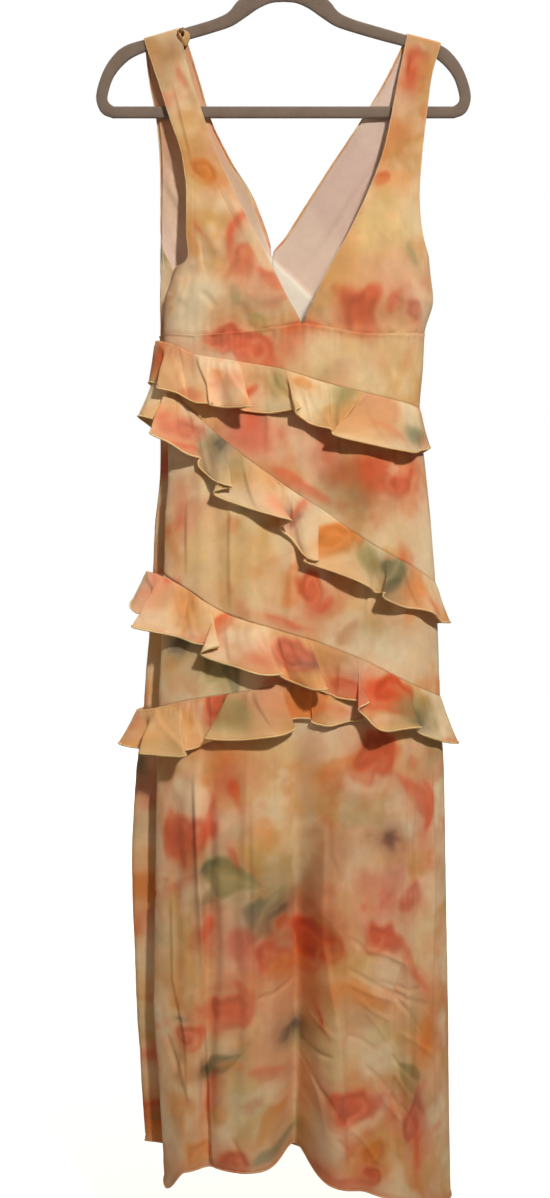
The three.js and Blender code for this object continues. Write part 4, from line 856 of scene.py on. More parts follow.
def bodice_face(name, a, b, tuck=0.0):
    """Face of a bodice piece: a runs from left to right, b from the shoulder seam over the hanger's
    arm in a quarter turn and down to the bust seam, between the two edges of its table. tuck takes
    the lower edge further down."""
    side, outer_end, armpit, rows = BODICE[name]
    rows = table("ox oz ix iz", rows)
    last = len(rows["ox"]) - 1
    rows["index"] = np.arange(last + 1.0)
    s = a if outer_end == 0 else 1 - a
    v = np.clip((b - SHOULDER_SHARE) / (1 - SHOULDER_SHARE), 0, 1)
    at = {c: along(rows, "index", c, v * last) for c in ("ox", "oz", "ix", "iz")}
    outer = np.where(v * last >= armpit - TINY, outer_end, share_of(side, at["ox"], at["oz"]))
    inner = share_of(side, at["ix"], at["iz"])
    u = mix(outer, inner, s)
    rest = mix(rows["oz"][-1], rows["iz"][-1], s)
    bust = line_at(SEAMS, side, u) + 2 * HALF_GAP - tuck
    z = mix(at["oz"], at["iz"], s) + (bust - rest) * v**4
    points, place = skin(side, u, z)
    turn = np.clip(1 - b / SHOULDER_SHARE, 0, 1) * np.pi / 2
    reach = np.abs(points[..., 1]) - HALF_GAP
    points[..., 1] = OUTWARD[side] * (HALF_GAP + reach * np.cos(turn))
    points[..., 2] += STRAP_RISE * np.sin(turn)
    return points, place, u, z


def bodice(name, columns, rows):
    """Bodice piece with its creases, a flat facing along neck and armhole, and gathers over the
    bust seam, where its edge goes in behind the midriff's."""
    side, outer_end = BODICE[name][:2]
    share = np.linspace(0, 1, columns + 1)
    shoulder = np.linspace(0, SHOULDER_SHARE, SHOULDER_ROWS + 1)[:-1]
    down = np.concatenate([shoulder, np.linspace(SHOULDER_SHARE, 1, rows + 1)])
    a, b = np.meshgrid(share, down)
    points, place, u, z = bodice_face(name, a, b, BUST_TUCK)
    step = np.linalg.norm(np.diff(points, axis=1), axis=-1)
    run = np.concatenate([np.zeros((len(down), 1)), np.cumsum(step, axis=1)], axis=1)
    back_run = run[:, -1:] - run
    neck = back_run if outer_end == 0 else run
    arm = run if outer_end == 0 else back_run
    above = z - line_at(SEAMS, side, u)
    facing = -0.3 * smooth(neck, NECK_FACING - 3, NECK_FACING + 2) - 0.2 * bell((neck - NECK_FACING) / 1.5)
    facing = facing - 0.2 * bell((arm - ARMHOLE_FACING) / 1.4)
    turned = 0.4 * bell(neck / 1.5) + 0.4 * bell(arm / 1.5)
    lift = relief(side, points[..., 0], z) * side_fade(u)
    lift = lift + facing * smooth(-z, 290, 345) - turned * smooth(-z, 165, 190)
    fading = np.exp(-np.maximum(above, 0) / BODICE_GATHER_REACH) * smooth(above, 0, 3)
    lift = lift + BODICE_GATHER * gather_ticks(place, 9) * fading * seam_fade(u)
    lift = lift - 1.1 * (1 - smooth(above, -0.5, 2.5)) * side_fade(u)
    points = points + outward(points, side) * lift[..., None]
    return points, place, z


def ruffle(seam, side, columns, rows, end=1.0):
    """Ruffle hanging from its seam: it stands further off the dress towards its hem, swings in
    waves that lean along the hem, doubles back at its fold-overs, is gathered at the seam and
    creased across, and on the front its left end turns over."""
    drop_left, drop_mid, drop_right, left, mid, right, over = RUFFLES[seam]
    u, b = np.meshgrid(across(columns, end), np.linspace(0, 1, rows + 1))
    seam_z = line_at(SEAMS, seam, u)
    seam_x = width_at(u, seam_z)
    edge = end_fade(u, RUFFLE_SIDE)
    left_end, right_end = bell(u / RUFFLE_END), bell((1 - u) / RUFFLE_END)
    out = mid + (left - mid) * left_end + (right - mid) * right_end
    drop = drop_mid + (drop_left - drop_mid) * left_end + (drop_right - drop_mid) * right_end
    lean = np.zeros_like(u)
    for x, wide, wave_out, wave_lean, wave_drop in WAVES[seam, side]:
        wave = bell((seam_x - x) / wide) * edge
        out = out + WAVE_OUT * wave_out * wave
        lean = lean + WAVE_LEAN * wave_lean * wave
        drop = drop + wave_drop * wave
    fold = np.zeros_like(u)
    for x, slant, wide, overlap, step, late in FOLD_OVERS[seam, side]:
        d = (seam_x - x) / wide
        shift = slant * bell(d / 2.2) * b**0.4 - overlap / FOLD_PEAK * d * bell(d)
        fold = fold + shift * b**late * edge
        out = out + 0.5 * step * np.tanh(2.4 * d) * bell(d / 3) * edge
        drop = drop - FOLD_DRAWS_UP * bell(d / 1.2) * edge
    seed = 300 + 10 * int(seam[1]) + (side == "back")
    out = out + 1.6 * noise(seam_x, 0 * u, 11, seed) * edge * b
    drop = drop + 1.6 * noise(seam_x, 0 * u, 15, seed + 1) * edge
    # Soft floor: log(1 + e to a power) keeps every wave off the dress.
    out = 1.5 + np.log1p(np.exp((out - 6) / 3)) * 3
    lift = RUFFLE_LIFT + over * OVERLAP_LIFT * (smooth(seam_x, 20, 60) - smooth(seam_x, 126, 150))
    lift = mix(0.75, lift, smooth(b * drop, 1, 7))
    z = seam_z + RUFFLE_TUCK - (drop + RUFFLE_TUCK) * b
    base, place = skin(side, u, z, 0.0)
    tangent = unit(np.gradient(base, axis=1) * [1, 1, 0])
    normal = OUTWARD[side] * np.stack([-tangent[..., 1], tangent[..., 0], 0 * u], -1)
    body = relief(side, base[..., 0], z) * side_fade(u) * (1 - 0.6 * b)
    fading = np.exp(-b * drop / RUFFLE_GATHER_REACH) * smooth(b * drop, 1, 4) * edge
    ticks = RUFFLE_GATHER * gather_ticks(seam_x, seed + 2) * fading
    rays = noise(seam_x + 14 * b, 0 * u, 9, seed + 3) + 0.6 * noise(seam_x - 18 * b, 0 * u, 6, seed + 5)
    flip = -OUTWARD[side]
    for x_top, x_low, high, fade in RUFFLE_CREASES[seam]:
        off = seam_x - flip * mix(x_top, x_low, b)
        rays = rays + RUFFLE_CREASE_GAIN * high * crest(off, flip * fade, RUFFLE_CREASE_EDGE)
    pleats = PLEAT_GAIN * rays * np.sin(np.pi * np.clip(b, 0, 1)) ** 0.7 * edge
    points = base + normal * (lift + out * b**1.25 + np.maximum(body, -1) + ticks + pleats)[..., None]
    points = points + tangent * (lean * b**1.6 + fold)[..., None]
    if side == "front":
        wide, overlap, stand = LEFT_TURNS[seam]
        d = (u - LEFT_TURN_AT) / wide
        open_share = smooth(b, 0, 0.7) * (0.4 + 0.6 * b)
        stands = (0.5 + 0.5 * np.tanh(2.2 * d)) * bell(np.maximum(d, 0) / 3)
        points[..., 0] -= overlap / FOLD_PEAK * d * bell(d) * open_share
        points[..., 1] -= stand * stands * open_share
    return points, place, z


def mesh_piece(name, points, faces, colours=None, cloth=None):
    """Mesh object at the origin from points in millimetres, with the print as a colour and the
    place on the unrolled cloth as a vector at each point."""
    mesh = bpy.data.meshes.new(name)
    mesh.from_pydata(np.asarray(points).reshape(-1, 3) * MM, [], np.asarray(faces).tolist())
    mesh.polygons.foreach_set("use_smooth", np.ones(len(mesh.polygons), bool))
    if colours is not None:
        values = np.ones((len(mesh.vertices), 4))
        values[:, :3] = linear(np.asarray(colours).reshape(-1, 3))
        mesh.attributes.new("print", "FLOAT_COLOR", "POINT").data.foreach_set("color", values.ravel())
    if cloth is not None:
        place = np.zeros((len(mesh.vertices), 3))
        place[:, :2] = np.asarray(cloth).reshape(-1, 2)
        mesh.attributes.new("cloth", "FLOAT_VECTOR", "POINT").data.foreach_set("vector", place.ravel())
    mesh.update()
    piece = bpy.data.objects.new(name, mesh)
    bpy.context.scene.collection.objects.link(piece)
    return piece


def grid_faces(rows, columns, flip, closed=False):
    """Four-sided faces of a grid of points, row after row; closed joins the last column to the first."""
    index = np.arange(rows * columns).reshape(rows, columns)
    if closed:
        index = np.concatenate([index, index[:, :1]], axis=1)
    corners = [index[:-1, :-1], index[:-1, 1:], index[1:, 1:], index[1:, :-1]]
    quads = np.stack(corners, -1).reshape(-1, 4)
    return quads[:, ::-1] if flip else quads


def cloth_piece(name, side, shape, colours, thick, materials, node):
    """Thin shell of cloth: a grid of points, its print, and a wall put on the inside, whose inner
    face has the second material if there is one."""
    points, place, z = shape
    faces = grid_faces(*points.shape[:2], side == "front")
    piece = mesh_piece(name, points, faces, colours, np.stack([place, z], -1))
    for material in materials:
        piece.data.materials.append(material)
    shell = piece.modifiers.new("shell", "SOLIDIFY")
    shell.thickness = thick * MM
    shell.offset = -1
    shell.material_offset = len(materials) - 1
    shell.material_offset_rim = 0
    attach(piece, "root")
    if node:
        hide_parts(node)
    return piece


def tube(name, path, radius, out, colours, material, sides=7):
    """Round roll of cloth or thread along a path: a circle carried along it, set by the path's
    direction and the direction away from the body, with closed ends."""
    ahead = unit(np.gradient(path, axis=0))
    up = unit(np.cross(ahead, out))
    out = np.cross(up, ahead)
    turn = np.linspace(0, 2 * np.pi, sides, endpoint=False)
    ring = np.cos(turn)[:, None] * out[:, None] + np.sin(turn)[:, None] * up[:, None]
    rings = path[:, None] + radius * ring
    faces = grid_faces(len(path), sides, True, closed=True).tolist()
    faces += [list(range(sides)), list(range((len(path) - 1) * sides, len(path) * sides))[::-1]]
    run = np.repeat(run_along(path)[:, None], sides, 1)
    place = np.stack([run, np.tile(turn * radius, (len(path), 1))], -1)
    ring_colours = np.repeat(colours[:, None], sides, 1)
    piece = mesh_piece(name, rings, np.array(faces, dtype=object), ring_colours, place)
    piece.data.materials.append(material)
    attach(piece, "root")
    return piece


def add(tree, kind, settings=None, inputs=None):
    """Node of one kind with its settings; an input is a value or another node's output."""
    node = tree.nodes.new("ShaderNode" + kind)
    for key, value in (settings or {}).items():
        setattr(node, key, value)
    for key, value in (inputs or {}).items():
        if isinstance(value, bpy.types.NodeSocket):
            tree.links.new(value, node.inputs[key])
        else:
            node.inputs[key].default_value = value
    return node


def calc(tree, operation, a, b=0.0):
    """One step of arithmetic between two values."""
    return add(tree, "Math", {"operation": operation}, {0: a, 1: b}).outputs[0]


def scaled(tree, value, gain, start):
    """A value times a gain, plus a start."""
    return calc(tree, "ADD", calc(tree, "MULTIPLY", value, gain), start)


def speckle(tree, place, scale, detail):
    """Cloudy noise from 0 to 1 at each place."""
    return add(tree, "TexNoise", inputs={"Vector": place, "Scale": scale, "Detail": detail}).outputs[0]


def print_colour(tree):
    """Colour of the print at each point."""
    return add(tree, "Attribute", {"attribute_name": "print"}).outputs["Color"]


def cloth_place(tree):
    """Place on the unrolled cloth, in millimetres."""
    return add(tree, "Attribute", {"attribute_name": "cloth"}).outputs["Vector"]


def object_place(tree):
    """Place in the shared frame, in metres."""
    return add(tree, "TexCoord").outputs["Object"]


def colour_mix(tree, share, a, b, blend="MIX"):
    """Blend of two colours, b over a by its share."""
    settings = {"data_type": "RGBA", "blend_type": blend}
    return add(tree, "Mix", settings, {0: share, 6: a, 7: b}).outputs[2]


def rgba(name):
    """Colour of a finish as light values with full cover."""
    return (*linear(np.array(FINISH[name]) / 255), 1.0)


def shader_group(name, inputs, outputs):
    """Empty node group with named inputs and outputs."""
    tree = bpy.data.node_groups.new(name, "ShaderNodeTree")
    for label, kind in inputs:
        tree.interface.new_socket(label, in_out="INPUT", socket_type="NodeSocket" + kind)
    for label in outputs:
        tree.interface.new_socket(label, in_out="OUTPUT", socket_type="NodeSocketFloat")
    return tree, tree.nodes.new("NodeGroupInput").outputs, tree.nodes.new("NodeGroupOutput").inputs


def woven_group():
    """Thin woven cloth: crossed waves of warp and weft, crepe that crosses them, and uneven yarn.
    Puts out the height of the threads and a tone about 1 for the colour."""
    tree, given, result = shader_group(
        "woven_cloth", [("Cloth", "Vector"), ("Pitch", "Float")], ["Height", "Tone"])
    turns = calc(tree, "DIVIDE", 2 * math.pi, given["Pitch"])
    threads = add(tree, "VectorMath", {"operation": "SCALE"}, {0: given["Cloth"], "Scale": turns})
    parts = add(tree, "SeparateXYZ", inputs={0: threads.outputs[0]}).outputs
    weave = calc(tree, "MULTIPLY", calc(tree, "SINE", parts[0]), calc(tree, "SINE", parts[1]))
    crepe = speckle(tree, given["Cloth"], 0.55, 3.0)
    yarn = speckle(tree, given["Cloth"], 0.12, 2.0)
    height = scaled(tree, weave, 0.3, crepe)
    tone = scaled(tree, weave, 0.03, 0.88)
    tone = calc(tree, "ADD", tone, calc(tree, "MULTIPLY", crepe, 0.12))
    tone = calc(tree, "ADD", tone, calc(tree, "MULTIPLY", yarn, 0.12))
    tree.links.new(height, result["Height"])
    tree.links.new(tone, result["Tone"])
    return tree


def blank(name):
    """New material, its node tree and its shader."""
    material = bpy.data.materials.new(name)
    material.use_nodes = True
    return material, material.node_tree, material.node_tree.nodes["Principled BSDF"]


def finish_material(tree, bsdf, colour, rough, height, strength, distance):
    """Links colour, roughness and bump to the material's shader."""
    bump = add(tree, "Bump", inputs={"Strength": strength, "Distance": distance, "Height": height})
    tree.links.new(colour, bsdf.inputs["Base Color"])
    tree.links.new(rough, bsdf.inputs["Roughness"])
    tree.links.new(bump.outputs[0], bsdf.inputs["Normal"])


def chiffon(name, pitch, sheen, bump):
    """Printed cloth: the print's own colour at each point, toned by the weave."""
    material, tree, bsdf = blank(name)
    printed, place = print_colour(tree), cloth_place(tree)
    woven = add(tree, "Group", {"node_tree": WOVEN}, {"Cloth": place, "Pitch": pitch}).outputs
    colour = colour_mix(tree, 1.0, printed, woven["Tone"], "MULTIPLY")
    rough = calc(tree, "MULTIPLY", woven["Tone"], 0.78)
    finish_material(tree, bsdf, colour, rough, woven["Height"], bump, 0.0004)
    bsdf.inputs["Specular IOR Level"].default_value = 0.25
    bsdf.inputs["Sheen Weight"].default_value = sheen
    bsdf.inputs["Sheen Roughness"].default_value = 0.45
    bsdf.inputs["Sheen Tint"].default_value = rgba("sheen")
    return material


def lining_satin(name, tinted):
    """Smooth lining: beige that drifts a little between pink and cream, or the colour kept at each
    point, which carries painted sunlight below the back V, with a faint weave."""
    material, tree, bsdf = blank(name)
    place = cloth_place(tree)
    woven = add(tree, "Group", {"node_tree": WOVEN}, {"Cloth": place, "Pitch": 0.5}).outputs
    if tinted:
        base = print_colour(tree)
    else:
        base = colour_mix(tree, speckle(tree, place, 0.02, 2.0), rgba("satin_pink"), rgba("satin_cream"))
    colour = colour_mix(tree, 1.0, base, woven["Tone"], "MULTIPLY")
    rough = calc(tree, "MULTIPLY", woven["Tone"], 0.55)
    finish_material(tree, bsdf, colour, rough, woven["Height"], 0.12, 0.0003)
    bsdf.inputs["Sheen Weight"].default_value = 0.15
    return material


def rolled_hem(name):
    """Rolled hem: the cloth's colour under fine slanting turns of gold thread."""
    material, tree, bsdf = blank(name)
    printed, place = print_colour(tree), cloth_place(tree)
    parts = add(tree, "SeparateXYZ", inputs={0: place}).outputs
    slant = scaled(tree, parts[0], 5.2, parts[1])
    turns = scaled(tree, calc(tree, "SINE", slant), 0.5, 0.5)
    colour = colour_mix(tree, calc(tree, "MULTIPLY", turns, 0.35), printed, rgba("hem_gold"))
    rough = scaled(tree, turns, 0.15, 0.5)
    finish_material(tree, bsdf, colour, rough, turns, 0.4, 0.0003)
    bsdf.inputs["Sheen Weight"].default_value = 0.2
    return material


def velvet_flock(name):
    """Short flock: fine fibres, brushed patches a little lighter, and a soft sheen."""
    material, tree, bsdf = blank(name)
    place = object_place(tree)
    fibre = speckle(tree, place, 1400.0, 2.0)
    brushed = speckle(tree, place, 60.0, 4.0)
    base = colour_mix(tree, brushed, rgba("flock_deep"), rgba("flock_brushed"))
    colour = colour_mix(tree, calc(tree, "MULTIPLY", fibre, 0.5), base, rgba("flock_tips"))
    rough = scaled(tree, fibre, 0.1, 0.85)
    finish_material(tree, bsdf, colour, rough, fibre, 0.5, 0.0006)
    bsdf.inputs["Sheen Weight"].default_value = 0.35
    return material


def bright_steel(name):
    """Bright wire: drawn lines and a few dull patches."""
    material, tree, bsdf = blank(name)
    place = object_place(tree)
    drawn = speckle(tree, place, 420.0, 3.0)
    dull = speckle(tree, place, 50.0, 2.0)
    colour = colour_mix(tree, dull, rgba("steel_grey"), rgba("steel_pale"))
    rough = scaled(tree, dull, 0.22, 0.12)
    finish_material(tree, bsdf, colour, rough, drawn, 0.08, 0.0002)
    bsdf.inputs["Metallic"].default_value = 1.0
    return material


def sewing_thread(name):
    """Twisted cotton thread."""
    material, tree, bsdf = blank(name)
    place = object_place(tree)
    twist = speckle(tree, place, 2600.0, 1.0)
    colour = colour_mix(tree, twist, rgba("thread_deep"), rgba("thread_light"))
    rough = scaled(tree, twist, 0.2, 0.55)
    finish_material(tree, bsdf, colour, rough, twist, 0.3, 0.0002)
    return material


def pale_floor(name):
    """Pale matt floor with a hardly seen drift of tone."""
    material, tree, bsdf = blank(name)
    place = object_place(tree)
    drift = speckle(tree, place, 1.5, 3.0)
    pale = colour_mix(tree, drift, rgba("floor_deep"), rgba("floor_light"))
    seen = add(tree, "LightPath").outputs["Is Camera Ray"]
    colour = colour_mix(tree, seen, rgba("floor_unseen"), pale)
    rough = scaled(tree, drift, 0.1, 0.7)
    finish_material(tree, bsdf, colour, rough, drift, 0.02, 0.001)
    away = add(tree, "VectorMath", {"operation": "LENGTH"}, {0: place}).outputs["Value"]
    far = add(tree, "MapRange", {"interpolation_type": "SMOOTHSTEP"}, {0: away, 1: 1.6, 2: 4.0, 3: 0.5})
    bsdf.inputs["Emission Color"].default_value = (1, 0.99, 0.98, 1)
    tree.links.new(calc(tree, "MULTIPLY", far.outputs[0], seen), bsdf.inputs["Emission Strength"])
    return material


WOVEN = woven_group()
PRINTED = chiffon("printed_chiffon", 0.7, 0.18, 0.3)
RUFFLED = chiffon("ruffle_chiffon", 0.7, 0.22, 0.25)
SATIN = lining_satin("lining_satin", False)
LINED = lining_satin("bodice_lining", True)
HEM = rolled_hem("rolled_hem")
FLOCK = velvet_flock("velvet_flock")
STEEL = bright_steel("bright_steel")
THREAD = sewing_thread("sewing_thread")

# Grid steps, shells and edges of the pieces.
FINENESS = {"front": 1.0, "back": 0.7}
BODICE_COLUMNS = 76
BODICE_ROWS = 118
RUFFLE_COLUMNS = 390
RUFFLE_ROWS = 22
LINING_COLUMNS = 80
LINING_ROWS = 120
SHELL = 0.7
RUFFLE_SHELL = 0.5
LINING_SHELL = 0.5
HEM_RADIUS = 1.1
EDGE_RADIUS = 0.75
EDGE_SINK = 0.3
EDGE_PALER = 0.3
TURNED_PIPING = 0.4
EDGE_FIRST_ROW = 3
NECK_END = {"front_left": 0.99, "front_right": 0.99, "back_left": 0.7, "back_right": 0.74}

# Trim colour, its share and the slot of the rolled hems.
HEM_TRIM = {"ruffle": ("gold", 0.65, "ruffle_cloth"), "skirt": ("piping", 0.5, "print_cloth")}

# Lining, its understitching and the slack loop of the left strap.
LINING_INSET = 1.1
BACK_MIDDLE = -14.0
LINING_MARGIN = 2.6
LINING_FOLD = ((-19, -403), (38, -457))
FOLD_INSET = 2.4
# Colours of the lining; cream is painted sunlight, which falls below the fold under the back V.
LINING_TINTS_AND_SUNLIGHT = {
    "beige": (246, 222, 204), "pink": (236, 206, 192), "peach": (238, 176, 132), "tan": (222, 186, 150),
    "cream": (255, 250, 236),
}
STITCH_INSET = 6.0
STITCH_STEP = 3.4
STITCH_HALF = 1.0
LOOP_CENTRE = (-118.5, -150.5)
LOOP_HALF_WIDTH = 7.4
LOOP_HALF_HEIGHT = 8
LOOP_DEPTH = (-9.8, -3.4)

# Motifs of the print on each side, and the seed of its ground.
BACK_MOTIFS = 150
BACK_PRINT_BOX = ((-215, 215), (-1540, -150))
RUFFLE_MOTIFS = 40
RUFFLE_PRINT_BOX = ((-200, 200), (-1000, -480))
RUFFLE_MOTIF_SEED = 80
RUFFLE_GROUND_SEED = 500
PRINT = {
    "front": (MOTIFS["body"], 101),
    "back": (scattered(77, BACK_MOTIFS, *BACK_PRINT_BOX), 401),
}


def seam(name):
    """Height of one seam at each share of the half turn."""
    return lambda u: line_at(SEAMS, name, u)


def skirt_hem(side):
    """Height of the skirt's hem at each share of the half turn."""
    return lambda u: line_at(HEMS, side, u)


def lower_seam(u):
    """Seam of the lowest ruffle, which runs into the seam of the one above."""
    return np.minimum(line_at(SEAMS, "r4", u), line_at(SEAMS, "r3", u))


for name in BODICE:
    side, outer_end, armpit, rows = BODICE[name]
    steps = int(BODICE_ROWS * FINENESS[side])
    shape = bodice(name, int(BODICE_COLUMNS * FINENESS[side]), steps)
    points, place, z = shape
    cloth_piece(
        f"bodice_{name}_cloth", side, shape, painted(place, z, *PRINT[side]), SHELL,
        [PRINTED, SATIN] if side == "front" else [PRINTED], "bodice_" + name)
    # Turned edges of the neck and the armhole.
    out = outward(points, side)
    for edge, column, end in (
        ("neck", outer_end - 1, NECK_END[name]), ("armhole", -outer_end, armpit / (len(rows) - 1)),
    ):
        keep = slice(EDGE_FIRST_ROW, SHOULDER_ROWS + int(steps * end))
        under = painted(place[keep, column], z[keep, column], *PRINT[side])
        tube(
            f"{edge}_edge_{name}", points[keep, column] - EDGE_SINK * out[keep, column], EDGE_RADIUS,
            out[keep, column], mix(under, screen("pale"), EDGE_PALER), HEM)

# Panels: name, upper and lower seam (None is the bust seam or the hem), columns, rows and width.
PANELS = [
    ("midriff", None, seam("r1"), 200, 20, 1.0),
    ("upper_panel", seam("r1"), seam("r2"), 176, 48, 1.0),
    ("middle_panel", seam("r2"), seam("r3"), 176, 48, 1.0),
    ("gore", seam("r3"), lower_seam, 124, 34, GORE_END),
    ("skirt", lower_seam, None, 204, 232, 1.0),
]
edges = {}
for side in ("front", "back"):
    for name, top, bottom, columns, rows, end in PANELS:
        shape = panel(
            side, top or seam(side), bottom or skirt_hem(side), int(columns * FINENESS[side]),
            int(rows * FINENESS[side]), end, name == "midriff", name == "skirt")
        node = f"{name}_{side}"
        points, place, z = shape
        colours = painted(place, z, *PRINT[side])
        if name == "skirt":
            turned = TURNED_PIPING * smooth(HEM_TURN + 1 - z + z[-1], 0, 2)
            colours = mix(colours, screen("piping"), turned[..., None])
        cloth_piece(
            node + "_cloth", side, shape, colours, SHELL, [PRINTED, SATIN], node)
        edges[node] = shape
    for number in (1, 2, 3, 4):
        key, node = f"r{number}", f"ruffle_{number}_{side}"
        end = SHORT_RUFFLE_END if number == 4 else 1.0
        shape = ruffle(key, side, int(RUFFLE_COLUMNS * FINENESS[side]), RUFFLE_ROWS, end)
        motifs = scattered(RUFFLE_MOTIF_SEED + number, RUFFLE_MOTIFS, *RUFFLE_PRINT_BOX)
        if side == "front":
            motifs = [row for row in motifs if row[0] == "wash"] + MOTIFS[key]
        colours = painted(*shape[1:], motifs, RUFFLE_GROUND_SEED + 20 * number)
        cloth_piece(
            node + "_cloth", side, shape, colours, RUFFLE_SHELL, [RUFFLED], node)
        edges[node] = shape

# Rolled hems of the ruffles and of the skirt.
for node, (points, place, z) in edges.items():
    kind, side = node.split("_")[0], node.split("_")[-1]
    if kind in HEM_TRIM:
        trim, share, slot = HEM_TRIM[kind]
        under = painted(place[-1], z[-1], *PRINT[side])
        tube(
            node + "_hem", points[-1], HEM_RADIUS, outward(points, side)[-1],
            mix(under, screen(trim), share), HEM)


def chord(name, b):
    """Straight width of a bodice piece at each step down it."""
    a = np.array([[0.0], [1.0]]) + 0 * b
    ends = bodice_face(name, a, np.tile(b, (2, 1)))[0]
    return np.linalg.norm(ends[1] - ends[0], axis=-1)


def lining_inset(a, b, place, z):
    """How far the lining lies inside the bodice, with long soft drag lines that run up from the
    back V to the straps."""
    across_drag = np.abs(place - BACK_MIDDLE) - 0.7 * z
    drag = 2.6 + 3.2 * noise(across_drag, 0.1 * z, 23, 91) + 0.8 * noise(across_drag, 0.1 * z, 9, 93)
    drag = drag * end_fade(a, 0.2)
    return LINING_INSET + mix(0.1, 1.9 + drag, smooth(b, LINING_START, 0.3))


def lining_colour_and_sunlight(x, z):
    """Beige lining, pinker in drifts, warmer on the left strap where the print shows through, and
    painted sunlight in pale cream below the fold under the back V."""
    drift = smooth(clouds(x + 0.5 * z, 0.3 * z, 46, 92), -0.5, 0.6)
    strap = smooth(-x, 30, 62) * smooth(z, -350, -255)
    lower = smooth(-x, 14, 34) * smooth(z, -425, -330) * (1 - strap)
    tint = np.array(LINING_TINTS_AND_SUNLIGHT["beige"])
    # Cream below the fold is painted sunlight on the lining.
    for name, share in (
        ("pink", drift), ("peach", 0.85 * strap), ("tan", 0.7 * lower), ("cream", fold_side(x, z)),
    ):
        tint = mix(tint, np.array(LINING_TINTS_AND_SUNLIGHT[name]), share[..., None])
    return tint / 255


def fold_side(x, z):
    """1 below the soft fold that slants from the back V to the right, 0 above it; it places both the fold
    and the painted sunlight on the lining.
    """
    (x0, z0), (x1, z1) = LINING_FOLD
    length = math.hypot(x1 - x0, z1 - z0)
    below = ((x - x0) * (z1 - z0) - (z - z0) * (x1 - x0)) / length
    return smooth(below, -0.6, 1.6) * smooth(x, -70, -30)


def lining(name):
    """Lining of a back bodice piece: that piece's face moved in along its normals, its edges set in
    so that the turned edge of the print shows, and a soft fold under the back V."""
    down = np.linspace(LINING_START, 1, LINING_ROWS + 1)
    open_end = BODICE[name][2] / (len(BODICE[name][3]) - 1)
    free = 1 - smooth(down, open_end - 0.06, open_end + 0.02)
    margin = ((0.1 + LINING_MARGIN * free) / chord(name, down))[:, None]
    b = np.repeat(down[:, None], LINING_COLUMNS + 1, 1)
    a = mix(margin, 1 - margin, np.linspace(0, 1, LINING_COLUMNS + 1)[None])
    points, place, _, z = bodice_face(name, a, b)
    fold = FOLD_INSET * fold_side(points[..., 0], z) * smooth(z, -500, -440)
    inset = lining_inset(a, b, place, z) + fold
    return points - outward(points, "back") * inset[..., None], place, z


for name in ("back_left", "back_right"):
    shape = lining(name)
    cloth_piece(
        f"lining_{name}_cloth", "back", shape, lining_colour_and_sunlight(shape[0][..., 0], shape[2]), LINING_SHELL,
        [LINED], "lining_" + name)


def stitches(name, edge_share, b_end):
    """Small stitches along the back neckline, on the lining: each is a lozenge of six points set
    along a line that keeps its distance from the edge."""
    b = np.linspace(LINING_START + 0.03, b_end, 400)
    share = STITCH_INSET / chord(name, b)
    a = np.abs(edge_share - np.stack([0.9 * share, share, 1.1 * share], 1))
    b = np.repeat(b[:, None], 3, 1)
    grid, place, _, z = bodice_face(name, a, b)
    inset = lining_inset(a, b, place, z) + LINING_SHELL + 0.1
    path = (grid - outward(grid, "back") * inset[..., None])[:, 1]
    run = run_along(path)
    at = np.arange(2, run[-1] - 2, STITCH_STEP)
    at = at + np.random.default_rng(61).uniform(-0.25, 0.25, len(at))
    middle = points_along(path, run, at)
    ahead = points_along(path, run, at + STITCH_HALF) - middle
    side = np.cross(ahead, [0.0, 1.0, 0.0]) * 0.5
    out = np.tile([0.0, -0.4, 0.0], (len(at), 1))
    belt = [middle + side, middle + out, middle - side, middle - out]
    points = np.stack([middle - ahead, *belt, middle + ahead], 1)
    fan = [(0, k, k % 4 + 1) for k in range(1, 5)] + [(5, k % 4 + 1, k) for k in range(1, 5)]
    faces = (np.arange(len(at))[:, None, None] * 6 + np.array(fan)).reshape(-1, 3)
    piece = mesh_piece(f"understitching_{name}", points, faces)
    piece.data.materials.append(THREAD)
    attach(piece, "root")
    return piece


stitches("back_left", 1.0, NECK_END["back_left"])
stitches("back_right", 0.0, NECK_END["back_right"])


def strap_loop():
    """Slack of the left strap: a pointed loop of cloth before the hanger's arm, a drop-shaped outline
    that widens from front to back."""
    turn, depth = np.meshgrid(np.linspace(-0.5 * np.pi, 1.5 * np.pi, 73), np.linspace(0, 1, 9))
    point = bell((np.sin(turn) + 1) / 0.3)
    wide = mix(0.5, 1.0, depth)
    drop_x = LOOP_HALF_WIDTH * np.cos(turn) * (1 - 0.3 * point) - 2 * np.sin(turn)
    drop_z = LOOP_HALF_HEIGHT * np.sin(turn) - 3 * point + 1.2 * np.cos(2 * turn)
    x = LOOP_CENTRE[0] + wide * drop_x - 2.5 * (1 - depth)
    z = LOOP_CENTRE[1] + wide * drop_z + 1.5 * (1 - depth)
    y = mix(*LOOP_DEPTH, depth**1.5) + 0.9 * np.cos(turn + 0.6)
    points = np.stack([x, y, z], -1)
    return points, 30 + 7 * turn, z - 60


shape = strap_loop()
cloth_piece(
    "strap_loop_cloth", "front", shape, painted(*shape[1:], *PRINT["front"]), LINING_SHELL, [PRINTED],
    None)


def spline(rows, count):
    """Smooth path through points: each stretch is the cubic whose slope at a point is half the
    step between its neighbours, then the path is cut into even lengths."""
    p = np.array(rows, float)
    p = np.concatenate([[2 * p[0] - p[1]], p, [2 * p[-1] - p[-2]]])
    t = np.linspace(0, 1, 24, endpoint=False)[:, None, None]
    a, b, c, d = p[:-3], p[1:-2], p[2:-1], p[3:]
    cubic = 2 * b + (c - a) * t + (2 * a - 5 * b + 4 * c - d) * t**2 + (3 * b - 3 * c + d - a) * t**3
    path = np.concatenate([(0.5 * cubic).transpose(1, 0, 2).reshape(-1, p.shape[1]), p[-2:-1]])
    run = run_along(path)
    return points_along(path, run, np.linspace(0, run[-1], count))


